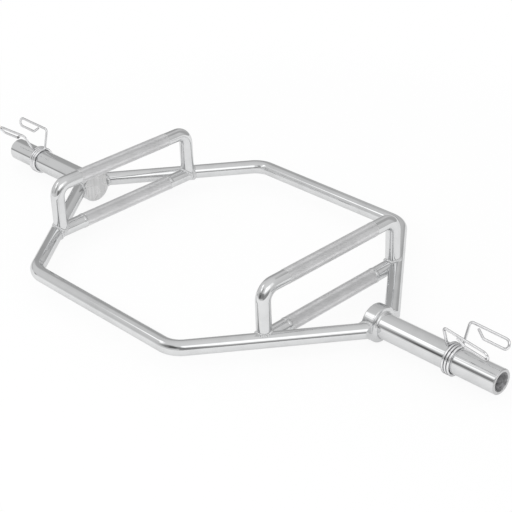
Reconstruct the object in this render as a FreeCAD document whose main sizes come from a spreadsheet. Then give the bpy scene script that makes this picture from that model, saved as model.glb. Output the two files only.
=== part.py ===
import FreeCAD, Part
import Sketcher
import math
import os

# Hex trap bar: a welded hexagonal frame of bent tube with low and raised handles, a hollow
# sleeve at each end for weight plates and a wire spring clip on each sleeve.
# X runs along the sleeves, Y from front to back, Z up. Millimetres. The origin is under the
# middle of the bar, on the floor that the two collars stand on.

# Driving dimensions

SIZES = [
    ("bar_length", 1422.0, "end to end over both sleeves"),
    ("sleeve_dia", 50.0, "outside of the sleeves, for plates with a 50 mm hole"),
    ("sleeve_wall", 6.5, "wall of the sleeve tube"),
    ("sleeve_edge", 1.5, "bevel on the rim of the sleeve's open end"),
    ("sleeve_weld_leg", 4.0, "bevel at the sleeve's foot that the weld fills"),
    ("sleeve_weld_drop", 0.4, "how far the sleeve weld lies under the sleeve's surface"),
    ("collar_dia", 72.0, "outside of the plate stop at the foot of each sleeve"),
    ("collar_thickness", 26.0, "plate stop along the bar"),
    ("collar_span", 828.0, "between the inner faces of the two plate stops"),
    ("collar_edge", 2.0, "bevel on both rims of the plate stop"),
    ("tube_dia", 30.8, "outside of the frame tube"),
    ("tube_wall", 4.0, "wall of the frame tube"),
    ("tube_plug", 6.0, "solid tube end, counted from the plate stop's inner face"),
    ("frame_width", 646.0, "front to rear between the frame tubes' centres"),
    ("front_run", 416.0, "front side of the hexagon between its sharp corners"),
    ("frame_bend", 50.0, "bend radius of the frame tube, at its centre"),
    ("tube_seat", 15.8, "slanting tube's centre on the stop's rim, from the stop's inner face"),
    ("handle_spacing", 614.0, "left to right between the handles' centres"),
    ("low_dia", 30.2, "plain ends of the low handle"),
    ("low_wall", 4.0, "wall of the low handle"),
    ("low_knurl_rise", 0.4, "knurled band over the low handle's plain ends"),
    ("low_plain_end", 76.0, "from the frame tube's centre to the low handle's knurled band"),
    ("raised_dia", 29.6, "tube of the raised handle"),
    ("raised_wall", 4.0, "wall of the raised handle"),
    ("raised_knurl_rise", 0.4, "knurled band over the raised handle's tube"),
    ("raised_plain_end", 58.5, "from a post's centre to the raised handle's knurled band"),
    ("post_inset", 13.4, "post's centre from where the low handle's centre meets the frame tube's"),
    ("raised_height", 105.5, "raised handle's centre above the frame's centre"),
    ("raised_bend", 27.0, "bend radius of the raised handle, at its centre"),
    ("bead_radius", 2.6, "weld beads in the corners between the tubes"),
    ("bead_clearance", 0.05, "between a weld bead and the pieces that it joins"),
    ("bead_gap", 1.5, "least gap between two weld beads"),
    ("clip_wire", 5.0, "spring clip's wire"),
    ("clip_turn_gap", 1.3, "between neighbouring turns of the coil"),
    ("clip_turns", 3.0, "whole turns of the coil"),
    ("clip_clearance", 0.6, "between the coil and the sleeve"),
    ("clip_opening", 40.0, "degrees between the clip's two legs"),
    ("clip_bend", 7.0, "wire bend radius, at its centre"),
    ("clip_rise", 48.4, "top of the clip's grips above the middle of the coil's wire"),
    ("grip_width", 18.6, "between the two runs of a wire grip"),
    ("inner_grip_length", 104.0, "leg to tip on the leg nearer the plate stop"),
    ("outer_grip_length", 92.0, "leg to tip on the leg nearer the sleeve's end"),
    ("inner_grip_return", 48.3, "from the inner leg to the end of its grip's lower run"),
    ("outer_grip_return", 37.3, "from the outer leg to the end of its grip's lower run"),
    ("hook_length", 20.8, "bent end of the grip's wire"),
    ("hook_angle", 38.0, "degrees that the bent end rises from the lower run"),
    ("right_clip_inset", 114.5, "right clip's inner leg from the sleeve's end"),
    ("left_clip_inset", 98.5, "left clip's inner leg from the sleeve's end"),
    ("right_clip_turn", 3.6, "degrees that the right clip is turned to its own back"),
    ("left_clip_turn", 5.7, "degrees that the left clip is turned to its own back"),
    ("right_inner_toe", 6.5, "degrees that the grip points away from its partner"),
    ("right_outer_toe", -4.6, "degrees that the grip points away from its partner"),
    ("left_inner_toe", 0.6, "degrees that the grip points away from its partner"),
    ("left_outer_toe", 2.6, "degrees that the grip points away from its partner"),
]

doc = FreeCAD.newDocument("hex_trap_bar")
sheet = doc.addObject("Spreadsheet::Sheet", "sizes")
for row, (alias, value, meaning) in enumerate(SIZES, start=1):
    sheet.set("A%d" % row, meaning)
    sheet.set("B%d" % row, str(value))
    sheet.setAlias("B%d" % row, alias)
doc.recompute()

# Expressions that several pieces share

# A slanting tube runs from a corner of the hexagon to its seat on a plate stop's rim, and its centre
# line would meet the sleeves' line at AIM.
SLANT_ACROSS = "(sizes.collar_span / 2 + sizes.tube_seat - sizes.front_run / 2)"
SLANT_DROP = "(sizes.frame_width / 2 - sizes.collar_dia / 2)"
SLANT = "atan2(%s; %s)" % (SLANT_DROP, SLANT_ACROSS)
AIM = "(sizes.front_run / 2 + %s * sizes.frame_width / 2 / %s)" % (SLANT_ACROSS, SLANT_DROP)
CORNER_CUT = "sizes.frame_bend * tan(%s / 2)" % SLANT
HANDLE_REACH = "((%s - sizes.handle_spacing / 2) * %s / %s)" % (AIM, SLANT_DROP, SLANT_ACROSS)
POST_PLACE = "(%s - sizes.post_inset)" % HANDLE_REACH
COLLAR_FACE = "(sizes.collar_span / 2 + sizes.collar_thickness)"
AXIS_HEIGHT = "sizes.collar_dia / 2"

FULL_TURN = 360.0


def size(alias):
    """The value of a driving dimension."""
    return float(sheet.get(alias))


def worked_out(expression):
    """The number that an expression on the sheet gives."""
    result = sheet.evalExpression(expression.replace("sizes.", ""))
    return float(getattr(result, "Value", result))


# Sketches and features

def new_body(name):
    return doc.addObject("PartDesign::Body", name)


def origin_plane(body, role):
    return next(plane for plane in body.Origin.OriginFeatures if plane.Role == role)


def sketch_on(body, name, role):
    """A sketch on one of the body's own origin planes."""
    sketch = body.newObject("Sketcher::SketchObject", name)
    sketch.AttachmentSupport = [(origin_plane(body, role), "")]
    sketch.MapMode = "FlatFace"
    return sketch


def bind(sketch, constraint, name, expression):
    """Add a constraint with a value and tie the value to the sheet."""
    index = sketch.addConstraint(constraint)
    sketch.renameConstraint(index, name)
    sketch.setExpression("Constraints." + name, expression)


def hold_point(sketch, line, end, name, across, along):
    """Hold a line's end at expressions for its two coordinates, where None means on the axis.

    A constraint knows the sketch's own axes as -1 and -2, and the origin as -1's first point.
    """
    if across is None:
        sketch.addConstraint(Sketcher.Constraint("PointOnObject", line, end, -2))
    else:
        bind(sketch, Sketcher.Constraint("DistanceX", -1, 1, line, end, worked_out(across)),
             name + "_across", across)
    if along is None:
        sketch.addConstraint(Sketcher.Constraint("PointOnObject", line, end, -1))
    else:
        bind(sketch, Sketcher.Constraint("DistanceY", -1, 1, line, end, worked_out(along)),
             name + "_along", along)


def outline(sketch, corners):
    """A closed outline of straight lines through corners given as pairs of expressions."""
    points = [
        FreeCAD.Vector(worked_out(across) if across else 0, worked_out(along) if along else 0, 0)
        for across, along in corners
    ]
    count = len(points)
    for i in range(count):
        sketch.addGeometry(Part.LineSegment(points[i], points[(i + 1) % count]), False)
    for i in range(count):
        sketch.addConstraint(Sketcher.Constraint("Coincident", i, 2, (i + 1) % count, 1))
    for i, (across, along) in enumerate(corners):
        hold_point(sketch, i, 1, "corner%d" % i, across, along)


def mirror_half(body, half, role):
    """Complete a half that was modelled on one side of an origin plane."""
    whole = body.newObject("PartDesign::Mirrored", body.Name + "_whole")
    whole.Originals = [half]
    whole.MirrorPlane = (origin_plane(body, role), [""])
    body.Tip = whole


def turn_outline(name, role, axis, corners):
    """A body and the feature that turns an outline about one of its sketch's axes."""
    body = new_body(name)
    sketch = sketch_on(body, name + "_outline", role)
    outline(sketch, corners)
    revolution = body.newObject("PartDesign::Revolution", name + "_turn")
    revolution.Profile = sketch
    revolution.ReferenceAxis = (sketch, [axis])
    revolution.Angle = FULL_TURN
    sketch.Visibility = False
    return body, revolution


def turned_on_bar(name, corners):
    """A round piece along the sleeves' line, from corners as places along it and radii."""
    return turn_outline(name, "XZ_Plane", "H_Axis", corners)[0]


def turned_on_handle(name, corners, height):
    """A round piece along the right handle, from the radii and places of one half's corners."""
    body, half = turn_outline(name, "XY_Plane", "V_Axis", corners)
    mirror_half(body, half, "XZ_Plane")
    body.setExpression("Placement.Base.x", "sizes.handle_spacing / 2")
    body.setExpression("Placement.Base.z", height)
    return body


def circle_at(sketch, across, along, diameter):
    """A circle held at expressions for its centre and its diameter."""
    centre = FreeCAD.Vector(worked_out(across) if across else 0, worked_out(along) if along else 0, 0)
    circle = Part.Circle(centre, FreeCAD.Vector(0, 0, 1), worked_out(diameter) / 2)
    index = sketch.addGeometry(circle, False)
    hold_point(sketch, index, 3, "centre%d" % index, across, along)
    bind(sketch, Sketcher.Constraint("Diameter", index, worked_out(diameter)), "diameter%d" % index, diameter)


def bent_path(sketch, start, corner, leaving, end_across, bend):
    """A path in a sketch's first quarter: a run along the first axis, a bend and a slanting run.

    start is the height of the first run, corner how far it goes before the bend, leaving the angle of
    the second run from the first axis and end_across where the second run stops.
    """
    slope = math.radians(worked_out(leaving))
    radius = worked_out(bend)
    first = FreeCAD.Vector(0, worked_out(start), 0)
    bend_start = FreeCAD.Vector(worked_out(corner), first.y, 0)
    centre = bend_start - FreeCAD.Vector(0, radius, 0)
    bend_end = centre + FreeCAD.Vector(radius * math.sin(slope), radius * math.cos(slope), 0)
    run = worked_out(end_across) - bend_end.x
    last = bend_end + FreeCAD.Vector(run, -run * math.tan(slope), 0)
    sketch.addGeometry(Part.LineSegment(first, bend_start), False)
    quarter = math.pi / 2
    circle = Part.Circle(centre, FreeCAD.Vector(0, 0, 1), radius)
    sketch.addGeometry(Part.ArcOfCircle(circle, quarter - slope, quarter), False)
    sketch.addGeometry(Part.LineSegment(bend_end, last), False)
    hold_point(sketch, 0, 1, "start", None, start)
    sketch.addConstraint(Sketcher.Constraint("Horizontal", 0))
    bind(sketch, Sketcher.Constraint("DistanceX", -1, 1, 0, 2, bend_start.x), "corner", corner)
    sketch.addConstraint(Sketcher.Constraint("Tangent", 0, 2, 1, 2))
    bind(sketch, Sketcher.Constraint("Radius", 1, radius), "bend", bend)
    sketch.addConstraint(Sketcher.Constraint("Tangent", 1, 1, 2, 1))
    bind(sketch, Sketcher.Constraint("Angle", 2, -slope), "slope", "-(%s)" % leaving)
    bind(sketch, Sketcher.Constraint("DistanceX", -1, 1, 2, 2, last.x), "reach", end_across)


def piped(body, profile, path):
    pipe = body.newObject("PartDesign::AdditivePipe", body.Name + "_pipe")
    pipe.Profile = profile
    pipe.Spine = (path, [])
    profile.Visibility = False
    path.Visibility = False
    return pipe


# Booleans, mirror images and finished nodes

NODES = []


def cut(name, base, tool):
    result = doc.addObject("Part::Cut", name)
    result.Base = base
    result.Tool = tool
    return result


def fuse(name, *shapes):
    result = doc.addObject("Part::MultiFuse", name)
    result.Shapes = list(shapes)
    return result


def mirrored(name, source, normal):
    """A mirror image through the origin's plane with this normal."""
    image = doc.addObject("Part::Mirroring", name)
    image.Source = source
    image.Normal = normal
    return image


LEFT_RIGHT = FreeCAD.Vector(1, 0, 0)
FRONT_REAR = FreeCAD.Vector(0, 1, 0)


def node(name, source):
    """Lift a finished piece from the frame's plane to its height over the floor and name it."""
    piece = doc.addObject("Part::Compound", name)
    piece.Links = [source]
    piece.Label = name
    piece.setExpression("Placement.Base.z", AXIS_HEIGHT)
    NODES.append(piece)


def both_sides(name, source):
    """The right piece and its mirror image on the left."""
    node("right_" + name, source)
    node("left_" + name, mirrored("left_%s_image" % name, source, LEFT_RIGHT))


def all_corners(name, source):
    """A piece of the right rear quarter and its three mirror images."""
    front = mirrored("front_%s_image" % name, source, FRONT_REAR)
    for place, quarter in (("rear", source), ("front", front)):
        both_sides("%s_%s" % (place, name), quarter)


# Plate stops and sleeves

def make_collar():
    inner, outer = "sizes.collar_span / 2", COLLAR_FACE
    rim = "sizes.collar_dia / 2"
    edge = "sizes.collar_edge"
    return turned_on_bar("collar", [
        (inner, None),
        (outer, None),
        (outer, "%s - %s" % (rim, edge)),
        ("%s - %s" % (outer, edge), rim),
        ("%s + %s" % (inner, edge), rim),
        (inner, "%s - %s" % (rim, edge)),
    ])


def make_sleeve():
    foot, end = COLLAR_FACE, "sizes.bar_length / 2"
    outside = "sizes.sleeve_dia / 2"
    bore = "(sizes.sleeve_dia / 2 - sizes.sleeve_wall)"
    edge = "sizes.sleeve_edge"
    return turned_on_bar("sleeve", [
        (foot, bore),
        (end, bore),
        (end, "%s - %s" % (outside, edge)),
        ("%s - %s" % (end, edge), outside),
        ("%s + sizes.sleeve_weld_leg" % foot, outside),
        (foot, "%s - sizes.sleeve_weld_leg" % outside),
    ])


def make_sleeve_weld():
    foot = COLLAR_FACE
    root = "sizes.sleeve_dia / 2 - sizes.sleeve_weld_leg"
    top = "sizes.sleeve_dia / 2 - sizes.sleeve_weld_drop"
    return turned_on_bar("sleeve_weld", [
        (foot, root),
        ("%s + sizes.sleeve_weld_leg - sizes.sleeve_weld_drop" % foot, top),
        (foot, top),
    ])


# Frame tubes

def make_frame_bar(name, diameter, end_across):
    """A round bar along the rear half of the hexagon, stopping where its slanting runs reach end_across."""
    body = new_body(name)
    path = sketch_on(body, name + "_path", "XY_Plane")
    corner = "sizes.front_run / 2 - " + CORNER_CUT
    bent_path(path, "sizes.frame_width / 2", corner, SLANT, end_across, "sizes.frame_bend")
    profile = sketch_on(body, name + "_profile", "YZ_Plane")
    circle_at(profile, "sizes.frame_width / 2", None, diameter)
    mirror_half(body, piped(body, profile, path), "YZ_Plane")
    return body


def make_stop_cutter():
    """What the frame tubes are shaped to: the plate stops' round rims and the planes of their outer faces."""
    rim = doc.addObject("Part::Cylinder", "rim_cutter")
    rim.setExpression("Radius", "sizes.collar_dia / 2")
    rim.setExpression("Height", "sizes.bar_length")
    rim.Placement.Rotation = FreeCAD.Rotation(FreeCAD.Vector(0, 1, 0), 90)
    rim.setExpression("Placement.Base.x", "-sizes.bar_length / 2")
    beyond = doc.addObject("Part::Box", "beyond_right_stop")
    beyond.setExpression("Length", "sizes.bar_length / 2")
    beyond.setExpression("Width", "sizes.frame_width")
    beyond.setExpression("Height", "sizes.collar_dia")
    beyond.setExpression("Placement.Base.x", COLLAR_FACE)
    beyond.setExpression("Placement.Base.y", "-sizes.frame_width / 2")
    beyond.setExpression("Placement.Base.z", "-sizes.collar_dia / 2")
    return fuse("stop_cutter", rim, beyond, mirrored("beyond_left_stop", beyond, LEFT_RIGHT))


# Handles

def make_low_handle():
    """The low handle, longer than it will be, for its ends to be shaped to the frame."""
    bore = "(sizes.low_dia / 2 - sizes.low_wall)"
    band = "(%s - sizes.low_plain_end)" % HANDLE_REACH
    top = "(sizes.low_dia / 2 + sizes.low_knurl_rise)"
    return turned_on_handle("low_handle", [
        (bore, None),
        (top, None),
        (top, "%s - sizes.low_knurl_rise" % band),
        ("sizes.low_dia / 2", band),
        ("sizes.low_dia / 2", HANDLE_REACH),
        (bore, HANDLE_REACH),
    ], "0")


def make_low_bar():
    """The low handle's plain round outside, which the posts' feet are shaped to."""
    bar = doc.addObject("Part::Cylinder", "low_bar")
    bar.setExpression("Radius", "sizes.low_dia / 2")
    bar.setExpression("Height", "2 * " + HANDLE_REACH)
    bar.Placement.Rotation = FreeCAD.Rotation(FreeCAD.Vector(1, 0, 0), -90)
    bar.setExpression("Placement.Base.x", "sizes.handle_spacing / 2")
    bar.setExpression("Placement.Base.y", "-" + HANDLE_REACH)
    return bar


def make_raised_tube():
    """The raised handle's hollow arch from the frame's plane up."""
    body = new_body("raised_tube")
    path = sketch_on(body, "raised_tube_path", "YZ_Plane")
    half = POST_PLACE
    top = "sizes.raised_height"
    bend = "sizes.raised_bend"
    arch = [FreeCAD.Vector(worked_out(half), 0, 0),
            FreeCAD.Vector(worked_out(half), worked_out(top) - worked_out(bend), 0),
            FreeCAD.Vector(worked_out(half) - worked_out(bend), worked_out(top), 0),
            FreeCAD.Vector(0, worked_out(top), 0)]
    centre = FreeCAD.Vector(arch[2].x, arch[1].y, 0)
    path.addGeometry(Part.LineSegment(arch[0], arch[1]), False)
    circle = Part.Circle(centre, FreeCAD.Vector(0, 0, 1), worked_out(bend))
    path.addGeometry(Part.ArcOfCircle(circle, 0, math.pi / 2), False)
    path.addGeometry(Part.LineSegment(arch[2], arch[3]), False)
    hold_point(path, 0, 1, "foot", half, None)
    path.addConstraint(Sketcher.Constraint("Vertical", 0))
    path.addConstraint(Sketcher.Constraint("Tangent", 0, 2, 1, 1))
    bind(path, Sketcher.Constraint("Radius", 1, worked_out(bend)), "bend", bend)
    path.addConstraint(Sketcher.Constraint("Tangent", 1, 2, 2, 1))
    path.addConstraint(Sketcher.Constraint("Horizontal", 2))
    hold_point(path, 2, 2, "top", None, top)
    profile = sketch_on(body, "raised_tube_profile", "XY_Plane")
    for diameter in ("sizes.raised_dia", "sizes.raised_dia - 2 * sizes.raised_wall"):
        circle_at(profile, None, half, diameter)
    mirror_half(body, piped(body, profile, path), "XZ_Plane")
    body.setExpression("Placement.Base.x", "sizes.handle_spacing / 2")
    return body


def make_raised_band():
    """The knurled band round the raised handle's top bar."""
    bore = "(sizes.raised_dia / 2 - sizes.raised_wall)"
    band = "(%s - sizes.raised_plain_end)" % POST_PLACE
    top = "(sizes.raised_dia / 2 + sizes.raised_knurl_rise)"
    return turned_on_handle("raised_band", [
        (bore, None),
        (top, None),
        (top, "%s - sizes.raised_knurl_rise" % band),
        ("sizes.raised_dia / 2", band),
        (bore, band),
    ], "sizes.raised_height")


# Wire and bead paths of straight runs and arcs

def arc_between(start, corner, end):
    """The arc that leaves start towards corner and arrives at end from it, with equal arms."""
    weight = (end - start).Length / (2 * (corner - start).Length)
    middle = (start + corner * (2 * weight) + end) / (2 + 2 * weight)
    return Part.Arc(start, middle, end).toShape()


def biarc(start, leaving, end, arriving):
    """Two arcs from start to end that have these unit directions at their ends."""
    reach = end - start
    both = leaving + arriving
    spread = 2 * (1 - leaving.dot(arriving))
    along = reach.dot(both)
    if spread < 1e-9:
        arm = reach.dot(reach) / (2 * along)
    else:
        arm = (math.sqrt(along * along + spread * reach.dot(reach)) - along) / spread
    first = start + leaving * arm
    second = end - arriving * arm
    middle = (first + second) / 2
    return [arc_between(start, first, middle), arc_between(middle, second, end)]


def through_points(points):
    """Biarcs through points, with each point's direction taken from its neighbours."""
    last = len(points) - 1
    directions = [
        (points[min(i + 1, last)] - points[max(i - 1, 0)]).normalize() for i in range(len(points))
    ]
    edges = []
    for i in range(last):
        edges += biarc(points[i], directions[i], points[i + 1], directions[i + 1])
    return edges


def round_bar(edges, diameter):
    """A round bar swept along joined edges."""
    path = Part.Wire(edges)
    start = edges[0].valueAt(edges[0].FirstParameter)
    heading = edges[0].tangentAt(edges[0].FirstParameter)
    section = Part.Wire(Part.makeCircle(diameter / 2, start, heading))
    shell = Part.BRepOffsetAPI.MakePipeShell(path)
    shell.add(section)
    shell.build()
    shell.makeSolid()
    return shell.shape()


def feature(name, shape):
    piece = doc.addObject("Part::Feature", name)
    piece.Shape = shape
    return piece


# Weld beads along the seams of the right rear quarter

SEAM_STEPS = 12
FINE_STEPS = 120
SEAM_TRIALS = 40
# margins that a seam must span for a bead to lie between the gaps at its ends
SHORTEST_SEAM = 2.5
QUARTER_TURN = FULL_TURN / 4
HALF_TURN = FULL_TURN / 2


class Slant:
    """The slanting tube in the right rear quarter, with the radius at which beads run along it."""

    def __init__(self):
        self.aim = worked_out(AIM)
        across, drop = worked_out(SLANT_ACROSS), worked_out(SLANT_DROP)
        length = math.hypot(across, drop)
        self.run = FreeCAD.Vector(-across / length, drop / length, 0)
        self.side = FreeCAD.Vector(drop / length, across / length, 0)
        self.radius = bead_path_radius("tube_dia")

    def top(self, x, y):
        """The height of a bead on the tube over a point of the frame's plane."""
        off = (x - self.aim) * self.side.x + y * self.side.y
        return math.sqrt(max(self.radius ** 2 - off ** 2, 0))


def bead_path_radius(diameter):
    """The radius at which the middle of a bead runs round a piece of this diameter."""
    return size(diameter) / 2 + size("bead_clearance") + size("bead_radius")


def bead_margin(radius):
    """Half the least gap between two beads' middles, in degrees round this radius."""
    return math.degrees((size("bead_radius") + size("bead_gap") / 2) / radius)


def steps_between(first, last, count=SEAM_STEPS):
    return [first + (last - first) * i / count for i in range(count + 1)]


def collar_seam(slant):
    """The seam of a slanting tube on the plate stop's rim, round the side away from the sleeve."""
    rim = bead_path_radius("collar_dia")
    limit = size("collar_span") / 2 + size("collar_thickness") - size("bead_radius")

    def seam_point(angle):
        up = slant.radius * math.sin(angle)
        out = slant.radius * math.cos(angle)
        back = (math.sqrt(rim ** 2 - up ** 2) - out * slant.side.y) / slant.run.y
        return FreeCAD.Vector(slant.aim, 0, up) + slant.run * back + slant.side * out

    low, high = 0.0, math.pi
    for _ in range(SEAM_TRIALS):
        middle = (low + high) / 2
        if seam_point(middle).x > limit:
            low = middle
        else:
            high = middle
    return [[seam_point(angle) for angle in steps_between(high, 2 * math.pi - high)]]


def post_seams(slant):
    """The seams of a post's foot, over the slanting tube and over the low handle's end."""
    centre_x = size("handle_spacing") / 2
    centre_y = worked_out(POST_PLACE)
    radius = bead_path_radius("raised_dia")
    handle_radius = bead_path_radius("low_dia")

    def seam_point(degrees):
        """A point of the seam, and whether the tube is higher there than the handle."""
        angle = math.radians(degrees)
        x = centre_x + radius * math.cos(angle)
        y = centre_y + radius * math.sin(angle)
        handle_top = math.sqrt(max(handle_radius ** 2 - (x - centre_x) ** 2, 0))
        tube_top = slant.top(x, y)
        return FreeCAD.Vector(x, y, max(handle_top, tube_top)), tube_top > handle_top

    turns = steps_between(0, FULL_TURN, FINE_STEPS)
    changes = [after for before, after in zip(turns, turns[1:])
               if seam_point(before)[1] != seam_point(after)[1]]
    margin = bead_margin(radius)
    seams = []
    for first, last in zip(changes, changes[1:] + [changes[0] + FULL_TURN]):
        if last - first > SHORTEST_SEAM * margin:
            steps = steps_between(first + margin, last - margin)
            seams.append([seam_point(degrees)[0] for degrees in steps])
    return seams


def low_handle_seams(slant, others):
    """The seams of a low handle's end on the slanting tube, from below up to the post's beads."""
    centre = size("handle_spacing") / 2
    radius = bead_path_radius("low_dia")
    clearance = 2 * size("bead_radius") + size("bead_gap")
    margin = bead_margin(radius)

    def seam_point(degrees):
        angle = math.radians(degrees)
        x = centre + radius * math.cos(angle)
        up = radius * math.sin(angle)
        off = -math.sqrt(max(slant.radius ** 2 - up ** 2, 0))
        return FreeCAD.Vector(x, (off - (x - slant.aim) * slant.side.x) / slant.side.y, up)

    def clear(degrees):
        return all((seam_point(degrees) - other).Length > clearance for seam in others for other in seam)

    seams = []
    for way in (1, -1):
        low = -QUARTER_TURN + way * margin
        climb = steps_between(low, low + way * HALF_TURN, FINE_STEPS)
        blocked = next((i for i, degrees in enumerate(climb) if not clear(degrees)), len(climb))
        seams.append([seam_point(degrees) for degrees in steps_between(low, climb[blocked - 1])])
    return seams


def make_beads(name, seams):
    """Weld beads along seams."""
    return feature(name, Part.makeCompound([
        round_bar(through_points(seam), 2 * size("bead_radius")) for seam in seams
    ]))


# Spring clips

QUARTERS = 4
LEG_SIDES = {"inner": -1, "outer": 1}
GAP_POINTS = 9


class Clip:
    """One wire clip in its own frame: the sleeve along X, the grips' tips to +X, the inner leg at zero."""

    def __init__(self, inner_toe, outer_toe):
        self.wire = size("clip_wire")
        self.bend = size("clip_bend")
        self.coil_radius = size("sleeve_dia") / 2 + size("clip_clearance") + self.wire / 2
        self.stub = self.wire
        self.pitch = self.wire + size("clip_turn_gap")
        self.toes = {"inner": inner_toe, "outer": outer_toe}
        # the angle from a leg to where its wire first lies on the coil's circle
        arm = self.coil_radius + self.bend
        lead = math.atan2(self.stub, arm)
        self.lead = lead + math.asin(self.bend / math.hypot(arm, self.stub))
        self.half_opening = math.radians(size("clip_opening")) / 2
        whole = math.radians(FULL_TURN) * size("clip_turns")
        self.first = -self.half_opening + self.lead
        self.last = self.half_opening - self.lead + whole
        self.length = self.pitch * (self.last - self.first) / math.radians(FULL_TURN)

    def out(self, angle):
        return FreeCAD.Vector(0, math.sin(angle), math.cos(angle))

    def round(self, angle):
        return FreeCAD.Vector(0, math.cos(angle), -math.sin(angle))

    def on_coil(self, angle):
        """The middle of the wire, this far round the coil."""
        along = self.pitch * (angle - self.first) / math.radians(FULL_TURN)
        return FreeCAD.Vector(along, 0, 0) + self.out(angle) * self.coil_radius

    def coil_edges(self):
        """A straight stub, the turns as biarcs of about a quarter turn, and a straight stub."""
        count = round(QUARTERS * (self.last - self.first) / math.radians(FULL_TURN))
        angles = [self.first + (self.last - self.first) * i / count for i in range(count + 1)]
        climb = self.pitch / math.radians(FULL_TURN) / self.coil_radius
        points = [self.on_coil(angle) for angle in angles]
        headings = [(self.round(angle) + FreeCAD.Vector(climb, 0, 0)).normalize() for angle in angles]
        headings[0] = self.round(angles[0])
        headings[-1] = self.round(angles[-1])
        edges = [Part.LineSegment(points[0] - headings[0] * self.stub, points[0]).toShape()]
        for i in range(count):
            edges += biarc(points[i], headings[i], points[i + 1], headings[i + 1])
        edges.append(Part.LineSegment(points[-1], points[-1] + headings[-1] * self.stub).toShape())
        return edges

    def handle_edges(self, leg_name):
        """The inner or the outer wire handle, from the coil's stub to its hook."""
        side = LEG_SIDES[leg_name]
        angle = side * self.half_opening
        up = self.out(angle)
        aside = self.round(angle) * side
        toe = math.radians(self.toes[leg_name])
        along = FreeCAD.Vector(math.cos(toe), 0, 0) + aside * math.sin(toe)
        leg = FreeCAD.Vector(self.length if leg_name == "outer" else 0, 0, 0)
        top = self.coil_radius + size("clip_rise")
        low = top - size("grip_width")
        loop = size("grip_width") / 2
        tip = size(leg_name + "_grip_length")
        stub_out = self.coil_radius * math.cos(self.lead) + self.stub * math.sin(self.lead)
        stub_aside = self.coil_radius * math.sin(self.lead) - self.stub * math.cos(self.lead)

        def at(run, height):
            return leg + along * run + up * height

        start = leg - aside * stub_aside + up * stub_out
        foot = at(0, stub_out + self.bend * math.cos(self.lead))
        inward = (aside * math.cos(self.lead) + up * math.sin(self.lead)).normalize()
        hook = math.radians(size("hook_angle"))
        corner = at(size(leg_name + "_grip_return"), low)
        hook_way = along * -math.cos(hook) + up * math.sin(hook)
        hook_bend = self.bend * math.tan(hook / 2)
        hook_end = corner + hook_way * size("hook_length")
        arm = self.bend * math.tan((math.pi / 2 - self.lead) / 2)
        return [
            arc_between(start, start + inward * arm, foot),
            Part.LineSegment(foot, at(0, top - self.bend)).toShape(),
            arc_between(at(0, top - self.bend), at(0, top), at(self.bend, top)),
            Part.LineSegment(at(self.bend, top), at(tip - loop, top)).toShape(),
            Part.Arc(at(tip - loop, top), at(tip, top - loop), at(tip - loop, low)).toShape(),
            Part.LineSegment(at(tip - loop, low), corner + along * hook_bend).toShape(),
            arc_between(corner + along * hook_bend, corner, corner + hook_way * hook_bend),
            Part.LineSegment(corner + hook_way * hook_bend, hook_end).toShape(),
        ]


def least_gap(edges, wire, turn_length):
    """The least gap between turns of a wire that lie about a turn or more apart along it."""
    points = [point for edge in edges for point in edge.discretize(GAP_POINTS)[:-1]]
    travelled = [0.0]
    for one, two in zip(points, points[1:]):
        travelled.append(travelled[-1] + (two - one).Length)
    return min(
        (points[i] - points[j]).Length
        for i in range(len(points))
        for j in range(i)
        if travelled[i] - travelled[j] > turn_length / 2
    ) - wire


def make_clip(side, inset, turn, inner_toe, outer_toe, facing):
    """The coil and the two wire handles of one clip, set on its sleeve."""
    clip = Clip(inner_toe, outer_toe)
    coil = clip.coil_edges()
    gap = least_gap(coil, clip.wire, 2 * math.pi * clip.coil_radius)
    print("%s clip coil: %d edges, least gap to itself %.2f mm" % (side, len(coil), gap))
    shapes = {
        "coil": coil,
        "inner_handle": clip.handle_edges("inner"),
        "outer_handle": clip.handle_edges("outer"),
    }
    outward = size("bar_length") / 2 - inset
    rotation = FreeCAD.Rotation(FreeCAD.Vector(0, 0, 1), facing)
    rotation = rotation.multiply(FreeCAD.Rotation(FreeCAD.Vector(1, 0, 0), -turn))
    place = FreeCAD.Vector(outward * math.cos(math.radians(facing)), 0, size("collar_dia") / 2)
    for part, edges in shapes.items():
        name = "%s_clip_%s" % (side, part)
        piece = feature(name, round_bar(edges, clip.wire))
        piece.Placement = FreeCAD.Placement(place, rotation)
        length = sum(edge.Length for edge in edges)
        section = math.pi * clip.wire ** 2 / 4
        print("%s: volume %.1f, section times length %.1f" % (name, piece.Shape.Volume, section * length))
        NODES.append(piece)


# Assembly

slant = Slant()

both_sides("collar", make_collar())
both_sides("sleeve", make_sleeve())
both_sides("sleeve_weld", make_sleeve_weld())

rear_bar = make_frame_bar("rear_bar", "sizes.tube_dia", AIM)
rear_bore = make_frame_bar("rear_bore", "sizes.tube_dia - 2 * sizes.tube_wall",
                           "sizes.collar_span / 2 - sizes.tube_plug")
front_bar = mirrored("front_bar", rear_bar, FRONT_REAR)
rear_tube = cut("rear_tube", cut("rear_hollow", rear_bar, rear_bore), make_stop_cutter())
node("rear_frame_tube", rear_tube)
node("front_frame_tube", mirrored("front_tube", rear_tube, FRONT_REAR))

frame_bars = fuse("frame_bars", rear_bar, front_bar)
low_handle = cut("low_handle_shaped", make_low_handle(), frame_bars)
both_sides("low_handle", low_handle)

footing = fuse("footing", rear_bar, front_bar, make_low_bar())
raised_whole = fuse("raised_whole", make_raised_tube(), make_raised_band())
raised_handle = cut("raised_handle_shaped", raised_whole, footing)
both_sides("raised_handle", raised_handle)

post_foot = post_seams(slant)
all_corners("collar_weld", make_beads("collar_beads", collar_seam(slant)))
all_corners("low_handle_weld", make_beads("low_handle_beads", low_handle_seams(slant, post_foot)))
all_corners("post_weld", make_beads("post_beads", post_foot))

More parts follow.
